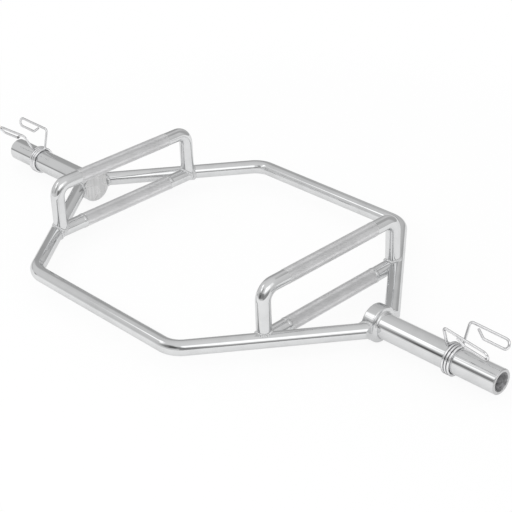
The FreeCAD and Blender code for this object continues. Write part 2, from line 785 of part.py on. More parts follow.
make_clip("right", size("right_clip_inset"), size("right_clip_turn"),
          size("right_inner_toe"), size("right_outer_toe"), 0)
make_clip("left", size("left_clip_inset"), size("left_clip_turn"),
          size("left_inner_toe"), size("left_outer_toe"), 180)

doc.recompute()

# Checks and export

for item in doc.Objects:
    if "Invalid" in item.State or "Error" in item.State:
        raise RuntimeError("%s failed: %s" % (item.Name, item.State))
for piece in NODES:
    if piece.Shape.isNull() or not piece.Shape.isValid():
        raise RuntimeError("%s has no valid shape" % piece.Label)
    if not piece.Shape.Solids:
        raise RuntimeError("%s has no solid" % piece.Label)

os.makedirs("parts", exist_ok=True)
for piece in NODES:
    piece.Shape.exportStep("parts/%s.step" % piece.Label)
    solids = len(piece.Shape.Solids)
    print("%s: %d solid(s), %.1f cm3" % (piece.Label, solids, piece.Shape.Volume / 1000))
print("%d nodes" % len(NODES))
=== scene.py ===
"""The looks of a hex trap bar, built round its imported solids.

Metres throughout, in the frame of the solids: X along the sleeves, Y from front to back, Z up, with the
origin on the floor under the middle of the bar. The bar is welded from chromed steel tube, with knurled
hand holds on its low and raised handles, and a wire spring clip sits on each sleeve.
"""

import logging
import math
from collections.abc import Callable, Mapping, Sequence
from dataclasses import dataclass
from enum import Enum
from typing import ClassVar

import bpy
from mathutils import Matrix, Quaternion, Vector


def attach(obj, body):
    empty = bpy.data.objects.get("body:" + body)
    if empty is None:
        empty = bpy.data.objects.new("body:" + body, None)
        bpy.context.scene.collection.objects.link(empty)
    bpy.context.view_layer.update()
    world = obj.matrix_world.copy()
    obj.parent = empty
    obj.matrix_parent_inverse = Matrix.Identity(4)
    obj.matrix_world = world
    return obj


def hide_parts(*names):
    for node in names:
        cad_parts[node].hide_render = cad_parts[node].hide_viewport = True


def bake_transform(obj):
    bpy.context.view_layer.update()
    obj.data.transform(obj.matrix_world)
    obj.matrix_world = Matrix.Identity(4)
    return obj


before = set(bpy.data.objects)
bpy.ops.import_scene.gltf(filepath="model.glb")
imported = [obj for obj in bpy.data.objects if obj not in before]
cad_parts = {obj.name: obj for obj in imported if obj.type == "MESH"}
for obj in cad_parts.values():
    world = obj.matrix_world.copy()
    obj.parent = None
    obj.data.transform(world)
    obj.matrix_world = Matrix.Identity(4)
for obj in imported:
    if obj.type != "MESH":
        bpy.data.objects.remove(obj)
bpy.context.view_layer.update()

log = logging.getLogger("hex_trap_bar")

FRAME_BODY = "frame"
RIGHT_AND_LEFT = (("right", 1), ("left", -1))
REAR_AND_FRONT = (("rear", 1), ("front", -1))
ALONG_BAR = Vector((1, 0, 0))
TO_BACK = Vector((0, 1, 0))
UPWARDS = Vector((0, 0, 1))
MIRROR_X = Matrix.Diagonal((-1, 1, 1, 1))
MIRROR_Y = Matrix.Diagonal((1, -1, 1, 1))
FULL_TURN = 360
WHITE = (1.0, 1.0, 1.0, 1.0)
# Points nearer to each other than the first are one, and nearer to a surface than the second lie on it
SAME_POINT = 1e-7
SKIN = 0.0002
# Edges of a turned piece that are sharper than this stay crisp, in degrees
TURNED_CREASE = 20.0


class Slot(Enum):
    """The record's material slots."""

    FRAME_TUBE = "frame_tube"
    SLEEVE = "sleeve"
    COLLAR = "collar"
    KNURLED_HANDLE = "knurled_handle"
    WELD_BEAD = "weld_bead"
    SPRING_WIRE = "spring_wire"


class Element(Enum):
    """What a selection in edit mode is made of."""

    VERT = "vertices"
    EDGE = "edges"


class Lines(Enum):
    """The way that fine lines run on a surface, as how quickly they change along X, Y and Z."""

    NONE = (1.0, 1.0, 1.0)
    ROUND_BAR = (1.0, 0.02, 0.02)
    ROUND_HANDLE = (0.02, 1.0, 0.02)
    UPRIGHT = (1.0, 1.0, 0.03)


# Shader nodes


class Signal:
    """A shader socket whose arithmetic adds Math nodes to its tree."""

    def __init__(self, tree: "ShaderTree", socket: bpy.types.NodeSocket) -> None:
        """Wrap an output socket of a tree."""
        self.tree = tree
        self.socket = socket

    def __add__(self, other: "Signal | float") -> "Signal":
        """The sum of two values."""
        return self.tree.math("ADD", self, other)

    def __sub__(self, other: "Signal | float") -> "Signal":
        """What is left of this value."""
        return self.tree.math("SUBTRACT", self, other)

    def __rsub__(self, other: float) -> "Signal":
        """What is left of a number."""
        return self.tree.math("SUBTRACT", other, self)

    def __mul__(self, other: "Signal | float") -> "Signal":
        """The product of two values."""
        return self.tree.math("MULTIPLY", self, other)


class ShaderTree:
    """The nodes of one material or of the world."""

    def __init__(self, tree: bpy.types.NodeTree) -> None:
        """Take over a node tree and empty it."""
        self.tree = tree
        tree.nodes.clear()

    def node(
        self,
        kind: str,
        settings: Mapping[str, object] | None = None,
        inputs: Mapping[str | int, object] | None = None,
    ) -> bpy.types.Node:
        """Add a node.

        Args:
            kind: The node's type.
            settings: Its own settings.
            inputs: Numbers, colours or signals for its sockets, by name or place.

        Returns:
            The new node.
        """
        made = self.tree.nodes.new(kind)
        for name, value in (settings or {}).items():
            setattr(made, name, value)
        for key, value in (inputs or {}).items():
            if isinstance(value, Signal):
                self.tree.links.new(value.socket, made.inputs[key])
            else:
                made.inputs[key].default_value = value
        return made

    def signal(
        self,
        kind: str,
        settings: Mapping[str, object] | None = None,
        inputs: Mapping[str | int, object] | None = None,
        output: str | int = 0,
    ) -> Signal:
        """Add a node and take one of its outputs.

        Args:
            kind: The node's type.
            settings: Its own settings.
            inputs: Numbers, colours or signals for its sockets.
            output: The name or place of the output.

        Returns:
            The output as a signal.
        """
        return Signal(self, self.node(kind, settings, inputs).outputs[output])

    def math(self, operation: str, first: Signal | float, second: Signal | float = 0.0) -> Signal:
        """A Math node on one or two values."""
        return self.signal("ShaderNodeMath", {"operation": operation}, {0: first, 1: second})

    def noise(self, place: Signal, size: float, detail: float = 2.0) -> Signal:
        """Cloudy noise.

        Args:
            place: The coordinates.
            size: The size of a patch, in metres.
            detail: How many finer layers it has.

        Returns:
            A value round one half.
        """
        return self.signal(
            "ShaderNodeTexNoise", {}, {"Vector": place, "Scale": 1 / size, "Detail": detail}, "Fac"
        )

    def ramp(self, value: Signal, low: float, high: float) -> Signal:
        """A smooth step of a value from 0 at low to 1 at high."""
        return self.signal(
            "ShaderNodeMapRange",
            {"interpolation_type": "SMOOTHSTEP"},
            {"Value": value, "From Min": low, "From Max": high},
        )

    def place(self) -> Signal:
        """The surface's coordinates, in the object's own frame."""
        return self.signal("ShaderNodeTexCoord", output="Object")

    def split(self, vector: Signal) -> list[Signal]:
        """The three parts of a vector."""
        parts = self.node("ShaderNodeSeparateXYZ", {}, {0: vector})
        return [Signal(self, output) for output in parts.outputs]

    def glow(self, level: Signal | float) -> Signal:
        """A white emission shader of some strength."""
        return self.signal("ShaderNodeEmission", {}, {"Color": WHITE, "Strength": level})

    def show(self, shader: Signal, kind: str = "ShaderNodeOutputMaterial") -> None:
        """Make a shader the tree's surface."""
        self.node(kind, {}, {"Surface": shader})


def new_shader(name: str) -> tuple[bpy.types.Material, ShaderTree]:
    """A new material.

    Args:
        name: The material's name.

    Returns:
        The material and its empty tree.
    """
    material = bpy.data.materials.new(name)
    material.use_nodes = True
    return material, ShaderTree(material.node_tree)


# Finishes


@dataclass(frozen=True)
class MetalFinish:
    """A bare or plated metal surface.

    Attributes:
        name: The material's name.
        colour: Reflected colour, linear.
        roughness: Roughness of the cleanest patches.
        smear: How much rougher the hazy patches are.
        haze_size: Size of a hazy patch, in metres.
        stain: How much darker the stained patches are, as a share.
        ripple: Height of the slow unevenness of the surface, in metres.
        ripple_size: Length of that unevenness, in metres.
        lines: The way that fine lines run.
        line_height: Height of the fine lines, in metres.
        line_size: Distance between the fine lines, in metres.
        streak: Share of the colour lost along the fine lines.
        pits: Share of the colour lost in small dark specks.
        metallic: How much of the surface is bare metal.
        edge: Reflection near the rim of a round surface, as a share of a plain metal's.
    """

    HAZE_RANGE: ClassVar[tuple[float, float]] = (0.42, 0.66)
    SPECK_RANGE: ClassVar[tuple[float, float]] = (0.62, 0.72)
    SPECK_SIZE: ClassVar[float] = 0.0016
    SPECK_ROUGHNESS: ClassVar[float] = 0.3
    STREAK_RANGE: ClassVar[tuple[float, float]] = (0.36, 0.64)

    name: str
    colour: tuple[float, float, float]
    roughness: float
    smear: float = 0.05
    haze_size: float = 0.05
    stain: float = 0.06
    ripple: float = 0.0
    ripple_size: float = 0.04
    lines: Lines = Lines.NONE
    line_height: float = 0.0
    line_size: float = 0.0008
    streak: float = 0.0
    pits: float = 0.0
    metallic: float = 1.0
    edge: float = 0.88

    def material(self) -> bpy.types.Material:
        """The finish's material, made on first use.

        Returns:
            The material.
        """
        known = bpy.data.materials.get(self.name)
        if known is not None:
            return known
        material, tree = new_shader(self.name)
        self._shade(tree)
        return material

    def _shade(self, tree: ShaderTree) -> None:
        """Fill the material's tree.

        Args:
            tree: The empty tree.
        """
        place = tree.place()
        haze = tree.ramp(tree.noise(place, self.haze_size, detail=3.0), *self.HAZE_RANGE)
        specks = tree.ramp(tree.noise(place, self.SPECK_SIZE, detail=1.0), *self.SPECK_RANGE)
        clean = 1 - haze * self.stain - specks * self.pits
        if self.streak:
            lines = tree.ramp(self._line_noise(tree, place), *self.STREAK_RANGE)
            clean = clean - lines * self.streak
        rough = haze * self.smear + specks * (self.pits * self.SPECK_ROUGHNESS) + self.roughness
        grey = tree.signal("ShaderNodeCombineColor", {}, {0: clean, 1: clean, 2: clean})
        colour = tree.signal(
            "ShaderNodeMix",
            {"data_type": "RGBA", "blend_type": "MULTIPLY"},
            {"Factor": 1.0, "A": (*self.colour, 1.0), "B": grey},
            "Result",
        )
        shader = tree.node(
            "ShaderNodeBsdfPrincipled",
            {},
            {
                "Base Color": colour,
                "Metallic": self.metallic,
                "Specular Tint": (self.edge, self.edge, self.edge, 1.0),
                "Roughness": rough,
            },
        )
        relief = self._relief(tree, place)
        if relief is not None:
            tree.tree.links.new(relief.socket, shader.inputs["Normal"])
        tree.show(Signal(tree, shader.outputs["BSDF"]))

    def _relief(self, tree: ShaderTree, place: Signal) -> Signal | None:
        """The unevenness of the surface.

        Args:
            tree: The material's tree.
            place: The surface's coordinates.

        Returns:
            A normal, or None for a perfectly even surface.
        """
        normal = None
        if self.ripple:
            wave = tree.noise(place, self.ripple_size, detail=1.0)
            normal = tree.signal("ShaderNodeBump", {}, {"Height": wave, "Distance": self.ripple})
        if self.line_height:
            inputs = {"Height": self._line_noise(tree, place), "Distance": self.line_height}
            if normal is not None:
                inputs["Normal"] = normal
            normal = tree.signal("ShaderNodeBump", {}, inputs)
        return normal

    def _line_noise(self, tree: ShaderTree, place: Signal) -> Signal:
        """Noise drawn out along the fine lines.

        Args:
            tree: The material's tree.
            place: The surface's coordinates.

        Returns:
            A value round one half.
        """
        stretched = tree.signal(
            "ShaderNodeVectorMath", {"operation": "MULTIPLY"}, {0: place, 1: self.lines.value}
        )
        return tree.noise(stretched, self.line_size)


TUBE_CHROME = MetalFinish(
    "tube_chrome", (0.75, 0.755, 0.76), 0.05, smear=0.07, ripple=0.00012, ripple_size=0.06
)
HANDLE_CHROME = MetalFinish(
    "handle_chrome", (0.75, 0.755, 0.76), 0.06, smear=0.10, haze_size=0.02,
    ripple=0.00012, ripple_size=0.05, lines=Lines.ROUND_HANDLE, line_height=0.00002,
)
SLEEVE_CHROME = MetalFinish(
    "sleeve_chrome", (0.75, 0.755, 0.76), 0.05, smear=0.05, ripple=0.00008, ripple_size=0.08,
    lines=Lines.ROUND_BAR, line_height=0.00001,
)
COLLAR_CHROME = MetalFinish(
    "collar_chrome", (0.74, 0.745, 0.75), 0.07, smear=0.06, ripple=0.00008,
    lines=Lines.ROUND_BAR, line_height=0.000015,
)
SLEEVE_END = MetalFinish(
    "sleeve_faced_end", (0.62, 0.62, 0.625), 0.20, smear=0.10, haze_size=0.008, stain=0.10
)
COLLAR_FACE = MetalFinish(
    "collar_sawn_face", (0.74, 0.74, 0.74), 0.24, smear=0.08, haze_size=0.03, stain=0.05,
    lines=Lines.UPRIGHT, line_height=0.00002, line_size=0.0090, streak=0.09,
)
KNURL_SATIN = MetalFinish(
    "knurl_satin_chrome", (0.76, 0.76, 0.765), 0.30, smear=0.10, haze_size=0.05, stain=0.05
)
WELD_CHROME = MetalFinish(
    "weld_chrome", (0.75, 0.755, 0.76), 0.10, smear=0.12, haze_size=0.006, ripple=0.0002,
    ripple_size=0.004,
)
SPRING_WIRE = MetalFinish(
    "spring_wire_plating", (0.89, 0.89, 0.90), 0.04, smear=0.05, haze_size=0.015, edge=0.0
)
BORE_STEEL = MetalFinish(
    "bore_steel", (0.62, 0.62, 0.63), 0.42, smear=0.20, haze_size=0.012, stain=0.45,
    ripple=0.0014, ripple_size=0.007, pits=0.6, metallic=0.35,
)


# Modelling by hand


def clear_selection() -> None:
    """Leave edit mode and deselect every object."""
    if bpy.context.object and bpy.context.object.mode != "OBJECT":
        bpy.ops.object.mode_set(mode="OBJECT")
    bpy.ops.object.select_all(action="DESELECT")


def work_on(piece: bpy.types.Object) -> None:
    """Make a piece the only selected one and the active one.

    Args:
        piece: The piece.
    """
    clear_selection()
    piece.select_set(True)
    bpy.context.view_layer.objects.active = piece


def select_where(
    piece: bpy.types.Object, element: Element, test: Callable[[object], bool]
) -> None:
    """Select a piece's elements that pass a test, and stay in edit mode.

    Args:
        piece: The active object.
        element: Whether vertices or edges are selected.
        test: Takes a vertex or an edge of the mesh.
    """
    bpy.ops.object.mode_set(mode="EDIT")
    bpy.ops.mesh.select_mode(type=element.name)
    bpy.ops.mesh.select_all(action="DESELECT")
    bpy.ops.object.mode_set(mode="OBJECT")
    for item in getattr(piece.data, element.value):
        item.select = test(item)
    bpy.ops.object.mode_set(mode="EDIT")


def smooth(piece: bpy.types.Object, degrees: float = 35.0) -> None:
    """Shade a piece smooth, with edges sharper than an angle left crisp."""
    work_on(piece)
    bpy.ops.object.shade_smooth_by_angle(angle=math.radians(degrees))


def round_edges(
    piece: bpy.types.Object, width: float, degrees: float = 25.0, segments: int = 3
) -> None:
    """Round a piece's edges.

    Args:
        piece: The piece.
        width: Width of the rounding, in metres.
        degrees: Only edges sharper than this are rounded.
        segments: Steps of the rounding.
    """
    work_on(piece)
    bevel = piece.modifiers.new("rounded_edges", "BEVEL")
    bevel.width = width
    bevel.segments = segments
    bevel.limit_method = "ANGLE"
    bevel.angle_limit = math.radians(degrees)
    bpy.ops.object.modifier_apply(modifier=bevel.name)


def settle(piece: bpy.types.Object, place: Matrix | None = None) -> None:
    """Put a piece's place into its mesh and turn its faces outwards.

    Args:
        piece: The piece.
        place: Where it goes from where it was modelled.
    """
    work_on(piece)
    if place is not None:
        piece.matrix_world = place
    bpy.ops.object.transform_apply(location=True, rotation=True, scale=True)
    bpy.ops.object.mode_set(mode="EDIT")
    bpy.ops.mesh.select_all(action="SELECT")
    bpy.ops.mesh.normals_make_consistent(inside=False)
    bpy.ops.object.mode_set(mode="OBJECT")


def twin(piece: bpy.types.Object, name: str, place: Matrix) -> bpy.types.Object:
    """A copy of a piece with its own mesh.

    Args:
        piece: The piece to copy.
        name: The copy's name.
        place: Where the copy goes, from where the piece is.

    Returns:
        The copy.
    """
    work_on(piece)
    bpy.ops.object.duplicate(linked=False)
    copy = bpy.context.object
    copy.name = name
    settle(copy, place)
    return copy


def joined(pieces: Sequence[bpy.types.Object], name: str) -> bpy.types.Object:
    """One piece out of several.

    Args:
        pieces: The pieces, which the first one takes in.
        name: The name of the whole.

    Returns:
        The whole.
    """
    work_on(pieces[0])
    for piece in pieces:
        piece.select_set(True)
    bpy.ops.object.join()
    pieces[0].name = name
    return pieces[0]


class RingPen:
    """Draws a round surface by moving a ring: extruded for runs and steps, and spun for bends."""

    def __init__(self, at: Vector, heading: Vector, radius: float, points: int) -> None:
        """Set down a ring and stay in edit mode.

        Args:
            at: The ring's centre.
            heading: The way that it will move.
            radius: Its radius.
            points: Points round it.
        """
        self.at = at.copy()
        self.heading = heading.normalized()
        self.radius = radius
        clear_selection()
        turn = self.heading.to_track_quat("Z", "Y").to_euler()
        bpy.ops.mesh.primitive_circle_add(vertices=points, radius=radius, location=at, rotation=turn)
        bpy.ops.object.transform_apply(location=True, rotation=True, scale=True)
        self.piece = bpy.context.object
        bpy.ops.object.mode_set(mode="EDIT")
        bpy.ops.mesh.select_mode(type="VERT")
        bpy.ops.mesh.select_all(action="SELECT")

    def run(self, distance: float, radius: float | None = None) -> None:
        """Extrude the ring along its heading.

        Args:
            distance: How far, backwards where it is negative.
            radius: The radius there, where it changes.
        """
        move = self.heading * distance
        bpy.ops.mesh.extrude_region_move(TRANSFORM_OT_translate={"value": move})
        self.at += move
        if radius is not None:
            share = radius / self.radius
            bpy.ops.transform.resize(value=(share, share, share), center_override=self.at)
            self.radius = radius

    def bend(self, heading: Vector, bend_radius: float, steps: int) -> None:
        """Spin the ring round to a new heading.

        Args:
            heading: The heading after the bend.
            bend_radius: The bend's radius at the ring's centre.
            steps: How many steps the bend has.
        """
        after = heading.normalized()
        axis = self.heading.cross(after).normalized()
        angle = self.heading.angle(after)
        centre = self.at + axis.cross(self.heading) * bend_radius
        bpy.ops.mesh.spin(steps=steps, angle=-angle, center=centre, axis=axis)
        self.at = centre + Quaternion(axis, angle) @ (self.at - centre)
        self.heading = after

    def recess(self, length: float, depth: float) -> None:
        """A run that lies lower than the surface, for a band to sit on.

        Args:
            length: The run's length.
            depth: How much lower it lies.
        """
        outside = self.radius
        self.run(0, outside - depth)
        self.run(length)
        self.run(0, outside)

    def lip(self, width: float, rise: float, steps: int = 8) -> None:
        """A smooth half-round ring that stands proud of the surface.

        Args:
            width: The ring's width.
            rise: How far it stands proud.
            steps: Steps of its rounding.
        """
        base = self.radius
        done = 0.0
        for i in range(1, steps + 1):
            turn = math.pi * i / steps
            along = width * (1 - math.cos(turn)) / 2
            self.run(along - done, base + rise * math.sin(turn))
            done = along

    def finish(self, name: str) -> bpy.types.Object:
        """Close the open ends, turn the faces outwards and name the piece.

        Args:
            name: The piece's name.

        Returns:
            The piece.
        """
        bpy.ops.mesh.select_all(action="SELECT")
        bpy.ops.mesh.remove_doubles(threshold=SAME_POINT)
        bpy.ops.mesh.select_all(action="SELECT")
        bpy.ops.mesh.fill_holes(sides=0)
        bpy.ops.mesh.select_all(action="SELECT")
        bpy.ops.mesh.normals_make_consistent(inside=False)
        bpy.ops.object.mode_set(mode="OBJECT")
        self.piece.name = name
        smooth(self.piece)
        return self.piece


def dress(
    piece: bpy.types.Object,
    finish: MetalFinish,
    node: str,
    body: str | None = FRAME_BODY,
) -> None:
    """Give a finished piece its material, hide the solid that it stands for and put it on its body.

    Args:
        piece: The piece.
        finish: Its finish, where it has none yet.
        node: The solid that isn't shown for it.
        body: The body that it rides on, or None to leave it on no body.
    """
    if not piece.data.materials:
        piece.data.materials.append(finish.material())
    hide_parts(node)
    if body is not None:
        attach(piece, body)
    log.info("%s: %d faces for %s", piece.name, len(piece.data.polygons), node)


def dress_sides(
    right: bpy.types.Object, across: Matrix, finish: MetalFinish, node: str
) -> None:
    """Copy a piece of the bar's right side to the left, and dress both.

    Args:
        right: The finished right piece, with its side in its name.
        across: Where the left one goes from there.
        finish: Their finish.
        node: The right solid that isn't shown for it.
    """
    left = twin(right, right.name.replace("right", "left"), across)
    dress(right, finish, node)
    dress(left, finish, node.replace("right", "left"))


# The welded bar


@dataclass(frozen=True)
class Layout:
    """Where the tubes of the frame run, seen from above.

    Attributes:
        height: The sleeves' and frame tubes' centres over the floor.
        width: Front to rear between the frame tubes' centres.
        front_run: Front side of the hexagon between its sharp corners.
        frame_bend: Bend radius of the frame tube.
        tube: Radius of the frame tube.
        collar: Radius of the plate stops.
        collar_inner: A plate stop's inner face, from the bar's middle.
        collar_outer: A plate stop's outer face.
        tube_seat: A slanting tube's centre on the stop's rim, from the stop's inner face.
        handle_place: The handles' centres, from the bar's middle.
        low: Radius of the low handle's plain ends.
        raised: Radius of the raised handle's tube.
        post_inset: A post's centre from where the low handle's centre meets the frame tube's.
    """

    height: float = 0.036
    width: float = 0.646
    front_run: float = 0.416
    frame_bend: float = 0.050
    tube: float = 0.0154
    collar: float = 0.036
    collar_inner: float = 0.414
    collar_outer: float = 0.440
    tube_seat: float = 0.0158
    handle_place: float = 0.307
    low: float = 0.0151
    raised: float = 0.0148
    post_inset: float = 0.0134

    @property
    def slant_across(self) -> float:
        """How far a slanting tube goes along the bar, from its corner to its seat."""
        return self.collar_inner + self.tube_seat - self.front_run / 2

    @property
    def slant_drop(self) -> float:
        """How far a slanting tube goes across the bar, from its corner to its seat."""
        return self.width / 2 - self.collar

    @property
    def slant(self) -> float:
        """The angle of a slanting tube to the bar, in radians."""
        return math.atan2(self.slant_drop, self.slant_across)

    @property
    def aim(self) -> float:
        """Where a slanting tube's centre line would meet the sleeves' line."""
        return self.front_run / 2 + self.slant_across * self.width / 2 / self.slant_drop

    @property
    def handle_reach(self) -> float:
        """Where a low handle's centre meets a frame tube's, from the middle."""
        return (self.aim - self.handle_place) * self.slant_drop / self.slant_across

    @property
    def post_place(self) -> float:
        """A post's centre, from the middle."""
        return self.handle_reach - self.post_inset

    @property
    def across(self) -> Matrix:
        """The move of a right handle to the left."""
        return Matrix.Translation((-2 * self.handle_place, 0, 0))


@dataclass
class FrameTubes:
    """The two bent tubes that make the hexagon.

    Attributes:
        layout: The frame's plan.
        points: Points round the tube.
        bend_steps: Steps of each bend.
        end_depth: How near to the sleeves' line a tube's end lies, inside its plate stop.
        face_drop: How far a tube's end lies behind the stop's outer face.
        seam_gap: Points nearer than this are one where the halves meet.
    """

    layout: Layout
    points: int = 72
    bend_steps: int = 24
    end_depth: float = 0.010
    face_drop: float = 0.0005
    seam_gap: float = 1e-5

    def build(self) -> None:
        """Bend the rear tube, mirror it to the front and dress both."""
        rear = self._rear_tube()
        front = twin(rear, "front_frame_tube_chromed", MIRROR_Y)
        dress(rear, TUBE_CHROME, "rear_frame_tube")
        dress(front, TUBE_CHROME, "front_frame_tube")

    def _rear_tube(self) -> bpy.types.Object:
        """The rear tube, bent on its right half and mirrored to the left.

        Returns:
            The tube.
        """
        plan = self.layout
        start = Vector((0, plan.width / 2, plan.height))
        pen = RingPen(start, ALONG_BAR, plan.tube, self.points)
        pen.run(plan.front_run / 2 - plan.frame_bend * math.tan(plan.slant / 2))
        inwards = Vector((math.cos(plan.slant), -math.sin(plan.slant), 0))
        pen.bend(inwards, plan.frame_bend, self.bend_steps)
        pen.run((pen.at.y - self.end_depth) / math.sin(plan.slant))
        bpy.ops.mesh.select_all(action="SELECT")
        bpy.ops.mesh.bisect(
            plane_co=(plan.collar_outer - self.face_drop, 0, 0), plane_no=(1, 0, 0), clear_outer=True
        )
        bpy.ops.object.mode_set(mode="OBJECT")
        mirror = pen.piece.modifiers.new("left_half", "MIRROR")
        mirror.merge_threshold = self.seam_gap
        bpy.ops.object.modifier_apply(modifier=mirror.name)
        bpy.ops.object.mode_set(mode="EDIT")
        return pen.finish("rear_frame_tube_chromed")


@dataclass
class Collars:
    """The two round plate stops that the frame tubes and the sleeves are welded to.

    Attributes:
        layout: The frame's plan.
        edge: Bevel on both rims.
        rounding: Rounding of the bevels' own edges.
        flat: How squarely a face looks along the bar, for it to be the inner face.
        points: Points round the rim.
    """

    layout: Layout
    edge: float = 0.002
    rounding: float = 0.0007
    flat: float = 0.99
    points: int = 128

    def build(self) -> None:
        """Turn the right stop, mirror it to the left and dress both."""
        plan = self.layout
        pen = RingPen(
            Vector((plan.collar_inner, 0, plan.height)), ALONG_BAR, plan.collar - self.edge, self.points
        )
        pen.run(self.edge, plan.collar)
        pen.run(plan.collar_outer - plan.collar_inner - 2 * self.edge)
        pen.run(self.edge, plan.collar - self.edge)
        right = pen.finish("right_collar_turned")
        round_edges(right, self.rounding)
        for finish in (COLLAR_CHROME, COLLAR_FACE):
            right.data.materials.append(finish.material())
        for face in right.data.polygons:
            if face.normal.x < -self.flat:
                face.material_index = 1
        smooth(right, TURNED_CREASE)
        dress_sides(right, MIRROR_X, COLLAR_CHROME, "right_collar")


@dataclass
class Sleeves:
    """The two open tubes that carry the plates.

    Attributes:
        layout: The frame's plan.
        end: The sleeve's end, from the bar's middle.
        radius: Outside of the sleeve.
        wall: Its wall.
        edge: Bevel on the outer rim of its end.
        bore_edge: Bevel on the inner rim of its end.
        foot: Bevel at its foot, which the weld fills.
        rounding: Rounding of the bevels' own edges.
        end_facing: How squarely a face looks along the bar, for it to be part of the end.
        points: Points round the sleeve.
    """

    layout: Layout
    end: float = 0.711
    radius: float = 0.025
    wall: float = 0.0065
    edge: float = 0.0015
    bore_edge: float = 0.0008
    foot: float = 0.004
    rounding: float = 0.0005
    end_facing: float = 0.5
    points: int = 128

    def build(self) -> None:
        """Turn the right sleeve, mirror it to the left and dress both."""
        plan = self.layout
        bore = self.radius - self.wall
        pen = RingPen(Vector((plan.collar_outer, 0, plan.height)), ALONG_BAR, bore, self.points)
        length = self.end - plan.collar_outer
        pen.run(length - self.bore_edge)
        pen.run(self.bore_edge, bore + self.bore_edge)
        pen.run(0, self.radius - self.edge)
        pen.run(-self.edge, self.radius)
        pen.run(-(length - self.edge - self.foot))
        pen.run(-self.foot, self.radius - self.foot)
        pen.run(0, bore)
        right = pen.finish("right_sleeve_turned")
        round_edges(right, self.rounding)
        for finish in (SLEEVE_CHROME, BORE_STEEL, SLEEVE_END):
            right.data.materials.append(finish.material())
        for face in right.data.polygons:
            out = math.hypot(face.center.y, face.center.z - plan.height)
            if out < bore + SKIN:
                face.material_index = 1
            elif face.normal.x > self.end_facing:
                face.material_index = 2
        smooth(right, TURNED_CREASE)
        dress_sides(right, MIRROR_X, SLEEVE_CHROME, "right_sleeve")


@dataclass
class KnurlBand:
    """A knurled hand hold: rows of flat-topped diamonds round a handle.

    Attributes:
        radius: Radius at the foot of the diamonds.
        half_length: Half the band's length.
        depth: Height of the diamonds.
        around: Half diamonds round the handle, an even number.
        rows: Half diamonds along half the band, at most 100.
        slope: Width of a diamond's sloping sides.
        proud: How far the diamonds' middles stand out while the faces are split, as a share.
    """

    radius: float
    half_length: float
    depth: float = 0.00038
    around: int = 80
    rows: int = 78
    slope: float = 0.00042
    proud: float = 0.01

    def build(self, name: str, centre: Vector) -> bpy.types.Object:
        """Roll the knurl.

        Args:
            name: The band's name.
            centre: The middle of the band.

        Returns:
            The band, along Y.
        """
        pen = RingPen(centre - TO_BACK * self.half_length, TO_BACK, self.radius, self.around)
        pen.run(self.half_length)
        pen.run(self.half_length)
        band = pen.piece
        step = self.half_length / self.rows

        def along(edge: bpy.types.MeshEdge) -> bool:
            """Whether an edge runs along the handle."""
            ends = [band.data.vertices[index].co.y for index in edge.vertices]
            return abs(ends[0] - ends[1]) > step / 2

        def peak(vertex: bpy.types.MeshVertex) -> bool:
            """Find the middles of the diamonds.

            Args:
                vertex: A vertex of the band.

            Returns:
                Whether it is the middle of a diamond.
            """
            out = vertex.co - centre
            turn = math.atan2(out.z, out.x) / math.tau * self.around
            return (round(turn) + round(out.y / step)) % 2 == 0

        select_where(band, Element.EDGE, along)
        bpy.ops.mesh.subdivide(number_cuts=self.rows - 1)
        select_where(band, Element.VERT, peak)
        bpy.ops.transform.resize(value=(1 + self.proud, 1.0, 1 + self.proud), center_override=centre)
        bpy.ops.mesh.select_all(action="SELECT")
        bpy.ops.mesh.quads_convert_to_tris(quad_method="SHORTEST_DIAGONAL")
        select_where(band, Element.VERT, peak)
        bpy.ops.mesh.dissolve_verts()
        bpy.ops.mesh.select_mode(type="FACE")
        bpy.ops.mesh.select_all(action="SELECT")
        bpy.ops.mesh.normals_make_consistent(inside=False)
        bpy.ops.mesh.inset(use_individual=True, thickness=self.slope, depth=self.depth)
        bpy.ops.object.mode_set(mode="OBJECT")
        band.name = name
        return band


@dataclass
class LowHandles:
    """The straight handles in the frame's plane, with a lip at each end of the knurl.

    Attributes:
        layout: The frame's plan.
        plain_end: From the frame tube's centre to the knurled band.
        lip_width: Width of the smooth ring at each end of the knurl.
        lip_rise: How far that ring stands proud.
        under: How far the tube lies under the knurl's foot.
        points: Points round the tube.
    """

    layout: Layout
    plain_end: float = 0.076
    lip_width: float = 0.0080
    lip_rise: float = 0.0010
    under: float = 0.0002
    points: int = 72

    def build(self) -> None:
        """Make the right handle and its knurl, copy both to the left and dress them."""
        plan = self.layout
        reach = plan.handle_reach
        half_band = reach - self.plain_end
        start = Vector((plan.handle_place, -reach, plan.height))
        pen = RingPen(start, TO_BACK, plan.low, self.points)
        pen.run(reach - half_band - self.lip_width)
        pen.lip(self.lip_width, self.lip_rise)
        pen.recess(2 * half_band, self.under)
        pen.lip(self.lip_width, self.lip_rise)
        pen.run(reach - half_band - self.lip_width)
        tube = pen.finish("right_low_handle_tube")
        band = KnurlBand(plan.low, half_band).build(
            "right_low_handle_knurl", Vector((plan.handle_place, 0, plan.height))
        )
        dress_sides(tube, plan.across, HANDLE_CHROME, "right_low_handle")
        dress_sides(band, plan.across, KNURL_SATIN, "right_low_handle")


